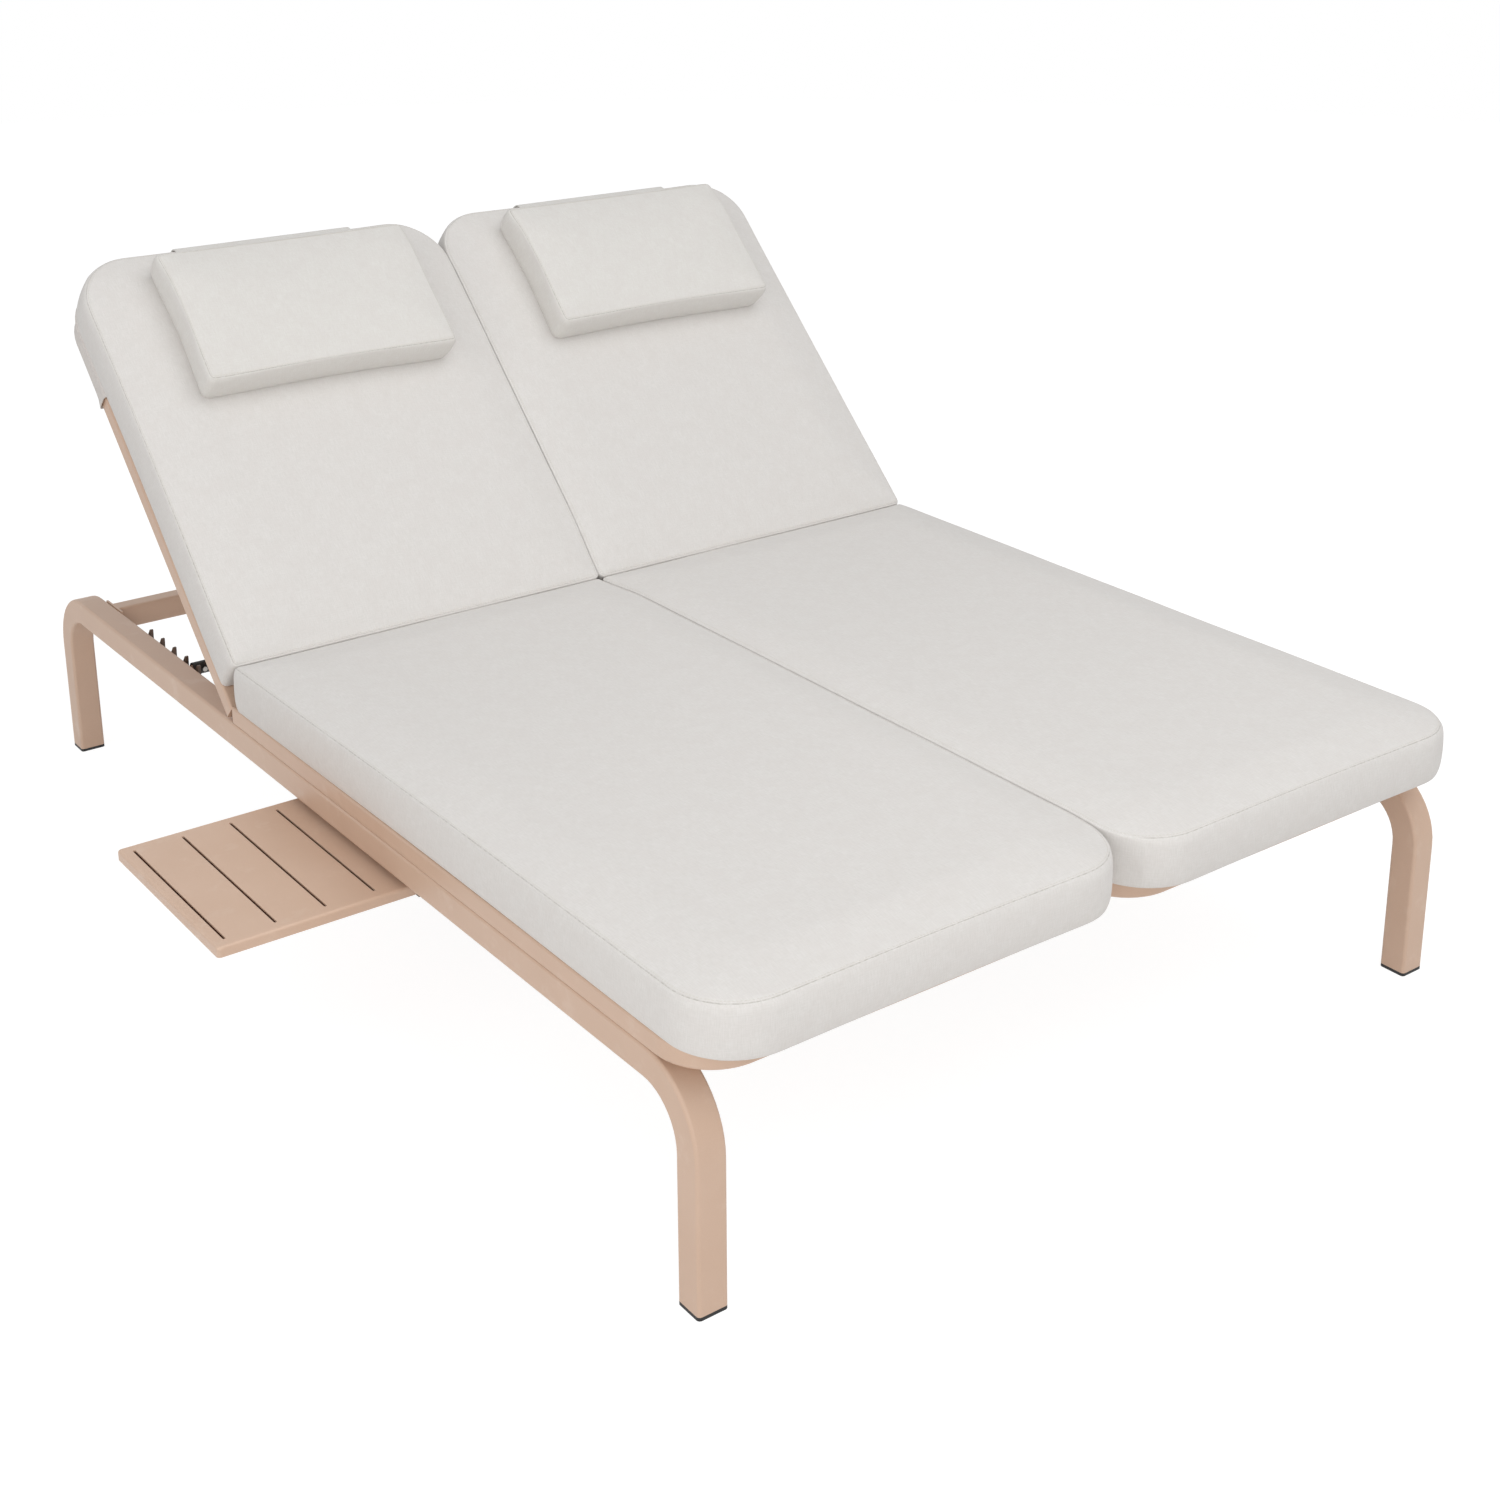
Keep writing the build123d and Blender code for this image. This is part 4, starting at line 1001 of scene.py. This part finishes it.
def make_strap():
    """Wide strap from the pillow's top edge over the back cushion's end and under the hood."""
    path = rounded_path(STRAP_PATH, STRAP_EASE, STRAP_STEP)
    strap, length = ribbon("left_pillow_strap", STRAP_X, path, STRAP_COLUMNS)
    strap.data.materials.append(pillow_linen)
    pick(strap)
    bpy.ops.object.shade_smooth()
    thicken(strap, STRAP_THICK, 0)
    lean_back(strap)
    twin = right_copy(strap, RIGHT_STRAP_SLIDE)
    for side, obj in (("left", strap), ("right", twin)):
        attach(obj, "backrest_" + side)
        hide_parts("pillow_strap_" + side)


def make_hood():
    """Fitted hood under the top end of the backrest's frame, open towards the cushion and the foot end."""
    outline = Outline(HOOD_X, (HOOD_START, HOOD_END), HOOD_FOOT_BEND, HOOD_HEAD_BEND)
    hood = rounded_panel("left_back_hood", outline, HOOD_INSET, HOOD_CELL)
    for vertex in hood.data.vertices:
        vertex.co.z = HOOD_LOW
    wall = ((0.0012, 0.0012), (0.0, 0.0045), (-0.0003, 0.0150), (0.0, 0.0240), (0.0, 0.0280))
    add_rings(hood, outline, [(inset, HOOD_LOW + height) for inset, height in wall])
    add_rings(hood, back_outline(), [(-0.0030, BACK_LOW + 0.0024), (0.0004, BACK_LOW + 0.0056)])
    mesh = edit(hood, "FACE")
    for face in mesh.faces:
        face.select_set(face.calc_center_median().y < HOOD_START + 0.0045)
    bpy.ops.mesh.delete(type="FACE")
    bpy.ops.mesh.select_all(action="SELECT")
    bpy.ops.mesh.normals_make_consistent(inside=True)
    bpy.ops.mesh.flip_normals()
    bpy.ops.object.mode_set(mode="OBJECT")
    layer = hood.data.uv_layers["weave"]
    for face in hood.data.polygons:
        upright = abs(face.normal.z) < 0.6
        for loop, place in zip(face.loop_indices, face.vertices):
            x, y, z = hood.data.vertices[place].co
            layer.data[loop].uv = (outline.girth(x, y), z) if upright else (x, y)
    for vertex in hood.data.vertices:
        open_share = unit((HOOD_START + HOOD_OPEN_FROM - vertex.co.y) / HOOD_OPEN_REACH) ** 2
        if vertex.co.x < HOOD_OUTER_WALL and vertex.co.z < BACK_LOW:
            vertex.co.x -= HOOD_FLARE * open_share
        vertex.co.z -= HOOD_SAG * open_share * unit((BACK_LOW - 0.010 - vertex.co.z) / 0.010)
    hood.data.materials.append(hood_linen)
    smooth(hood, 50)
    thicken(hood, HOOD_THICK, -1)
    lean_back(hood)
    twin = right_copy(hood)
    for side, obj in (("left", hood), ("right", twin)):
        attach(obj, "backrest_" + side)
        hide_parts("back_hood_" + side)


# Tray

def make_tray_pan():
    """Shallow pan inside the folded tray, which closes it below its slots."""
    deselect()
    middle = ((TRAY_PAN_X[0] + TRAY_PAN_X[1]) / 2, TRAY_PAN_Y, TRAY_PAN_Z)
    size = (TRAY_PAN_X[1] - TRAY_PAN_X[0], TRAY_PAN_LENGTH, TRAY_PAN_HEIGHT)
    bpy.ops.mesh.primitive_cube_add(size=1, location=middle, scale=size)
    bpy.ops.object.transform_apply(location=True, rotation=False, scale=True)
    pan = bpy.context.object
    pan.name = pan.data.name = "tray_pan"
    mesh = edit(pan, "EDGE")
    for side in mesh.edges:
        first, second = side.verts
        side.select_set(abs(first.co.z - second.co.z) > 0.004)
    bpy.ops.mesh.bevel(offset=TRAY_PAN_BEND, segments=4)
    mesh = edit(pan, "FACE")
    for face in mesh.faces:
        face.select_set(face.normal.z > 0.9)
    bpy.ops.mesh.inset(thickness=TRAY_PAN_WALL)
    bpy.ops.mesh.extrude_region_move(TRANSFORM_OT_translate={"value": (0, 0, -TRAY_PAN_DEPTH)})
    bpy.ops.object.mode_set(mode="OBJECT")
    apply_modifier(pan, "soft_edges", "BEVEL", width=TRAY_PAN_EDGE, segments=2, limit_method="ANGLE")
    smooth(pan)
    pan.data.materials.append(pan_coat)
    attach(pan, "side_tray")


# Studio

def make_camera():
    """The photograph's viewpoint."""
    data = bpy.data.cameras.new("viewpoint")
    data.sensor_width = 36.0
    data.lens = CAMERA_LENS
    data.shift_x, data.shift_y = CAMERA_SHIFT
    camera = bpy.data.objects.new("viewpoint", data)
    turn = Matrix.Rotation(math.radians(CAMERA_TURN), 4, "Z")
    tilt = Matrix.Rotation(math.radians(90 - CAMERA_DOWN), 4, "X")
    roll = Matrix.Rotation(math.radians(CAMERA_ROLL), 4, "Z")
    camera.matrix_world = Matrix.Translation(CAMERA_PLACE) @ (turn @ tilt @ roll)
    bpy.context.collection.objects.link(camera)
    SCENE.camera = camera


def choose_by_ray(w, unseen, shown, sink):
    """One shader where the camera sees a surface, reflected and refracted too, and another elsewhere."""
    path = w.node("ShaderNodeLightPath")
    seen = w.math("MAXIMUM", path.outputs["Is Camera Ray"], path.outputs["Is Glossy Ray"])
    seen = w.math("MAXIMUM", seen, path.outputs["Is Transmission Ray"])
    mixer = w.node("ShaderNodeMixShader")
    w.join(seen, mixer.inputs[0])
    w.join(unseen.outputs[0], mixer.inputs[1])
    w.join(shown.outputs[0], mixer.inputs[2])
    w.join(mixer.outputs[0], sink)


def make_studio():
    """Soft plain light, a white backdrop and a pale floor."""
    SCENE.view_settings.view_transform = "Standard"
    world = bpy.data.worlds.new("studio")
    SCENE.world = world
    world.use_nodes = True
    w = Wires(world.node_tree)
    light = world.node_tree.nodes["Background"]
    light.inputs["Color"].default_value = (0.985, 0.99, 1.0, 1)
    light.inputs["Strength"].default_value = WORLD_STRENGTH
    white = w.node("ShaderNodeBackground")
    white.inputs["Color"].default_value = (1, 1, 1, 1)
    choose_by_ray(w, light, white, world.node_tree.nodes["World Output"].inputs["Surface"])

    for name, (place, size, energy, colour) in SOFTBOXES.items():
        data = bpy.data.lights.new(name, "AREA")
        data.shape = "SQUARE"
        data.size = size
        data.energy = energy
        data.color = colour
        lamp = bpy.data.objects.new(name, data)
        lamp.location = place
        lamp.rotation_euler = (Vector((0, 0, 0.3)) - Vector(place)).to_track_quat("-Z", "Y").to_euler()
        bpy.context.collection.objects.link(lamp)

    deselect()
    bpy.ops.mesh.primitive_circle_add(vertices=96, radius=FLOOR_RADIUS, fill_type="NGON", location=(0, 0, 0))
    floor = bpy.context.object
    floor.name = "studio_floor"
    floor.data.materials.append(floor_material())


def floor_material():
    """Pale floor that looks white where nothing shades it and keeps soft shadows."""
    material = bpy.data.materials.new("studio_floor")
    material.use_nodes = True
    w = Wires(material.node_tree)
    material.node_tree.nodes.remove(material.node_tree.nodes["Principled BSDF"])
    glow = w.node("ShaderNodeEmission")
    glow.inputs["Strength"].default_value = FLOOR_GLOW
    base = w.node("ShaderNodeBsdfDiffuse")
    base.inputs["Color"].default_value = (0.24, 0.24, 0.24, 1)
    lit = w.node("ShaderNodeAddShader")
    w.join(glow.outputs[0], lit.inputs[0])
    w.join(base.outputs[0], lit.inputs[1])
    plain = w.node("ShaderNodeBsdfDiffuse")
    plain.inputs["Color"].default_value = (0.9, 0.89, 0.88, 1)
    choose_by_ray(w, plain, lit, material.node_tree.nodes["Material Output"].inputs["Surface"])
    return material


make_camera()
make_studio()
finish_frame()
make_tray_pan()
make_cushions()
make_strap()
make_hood()
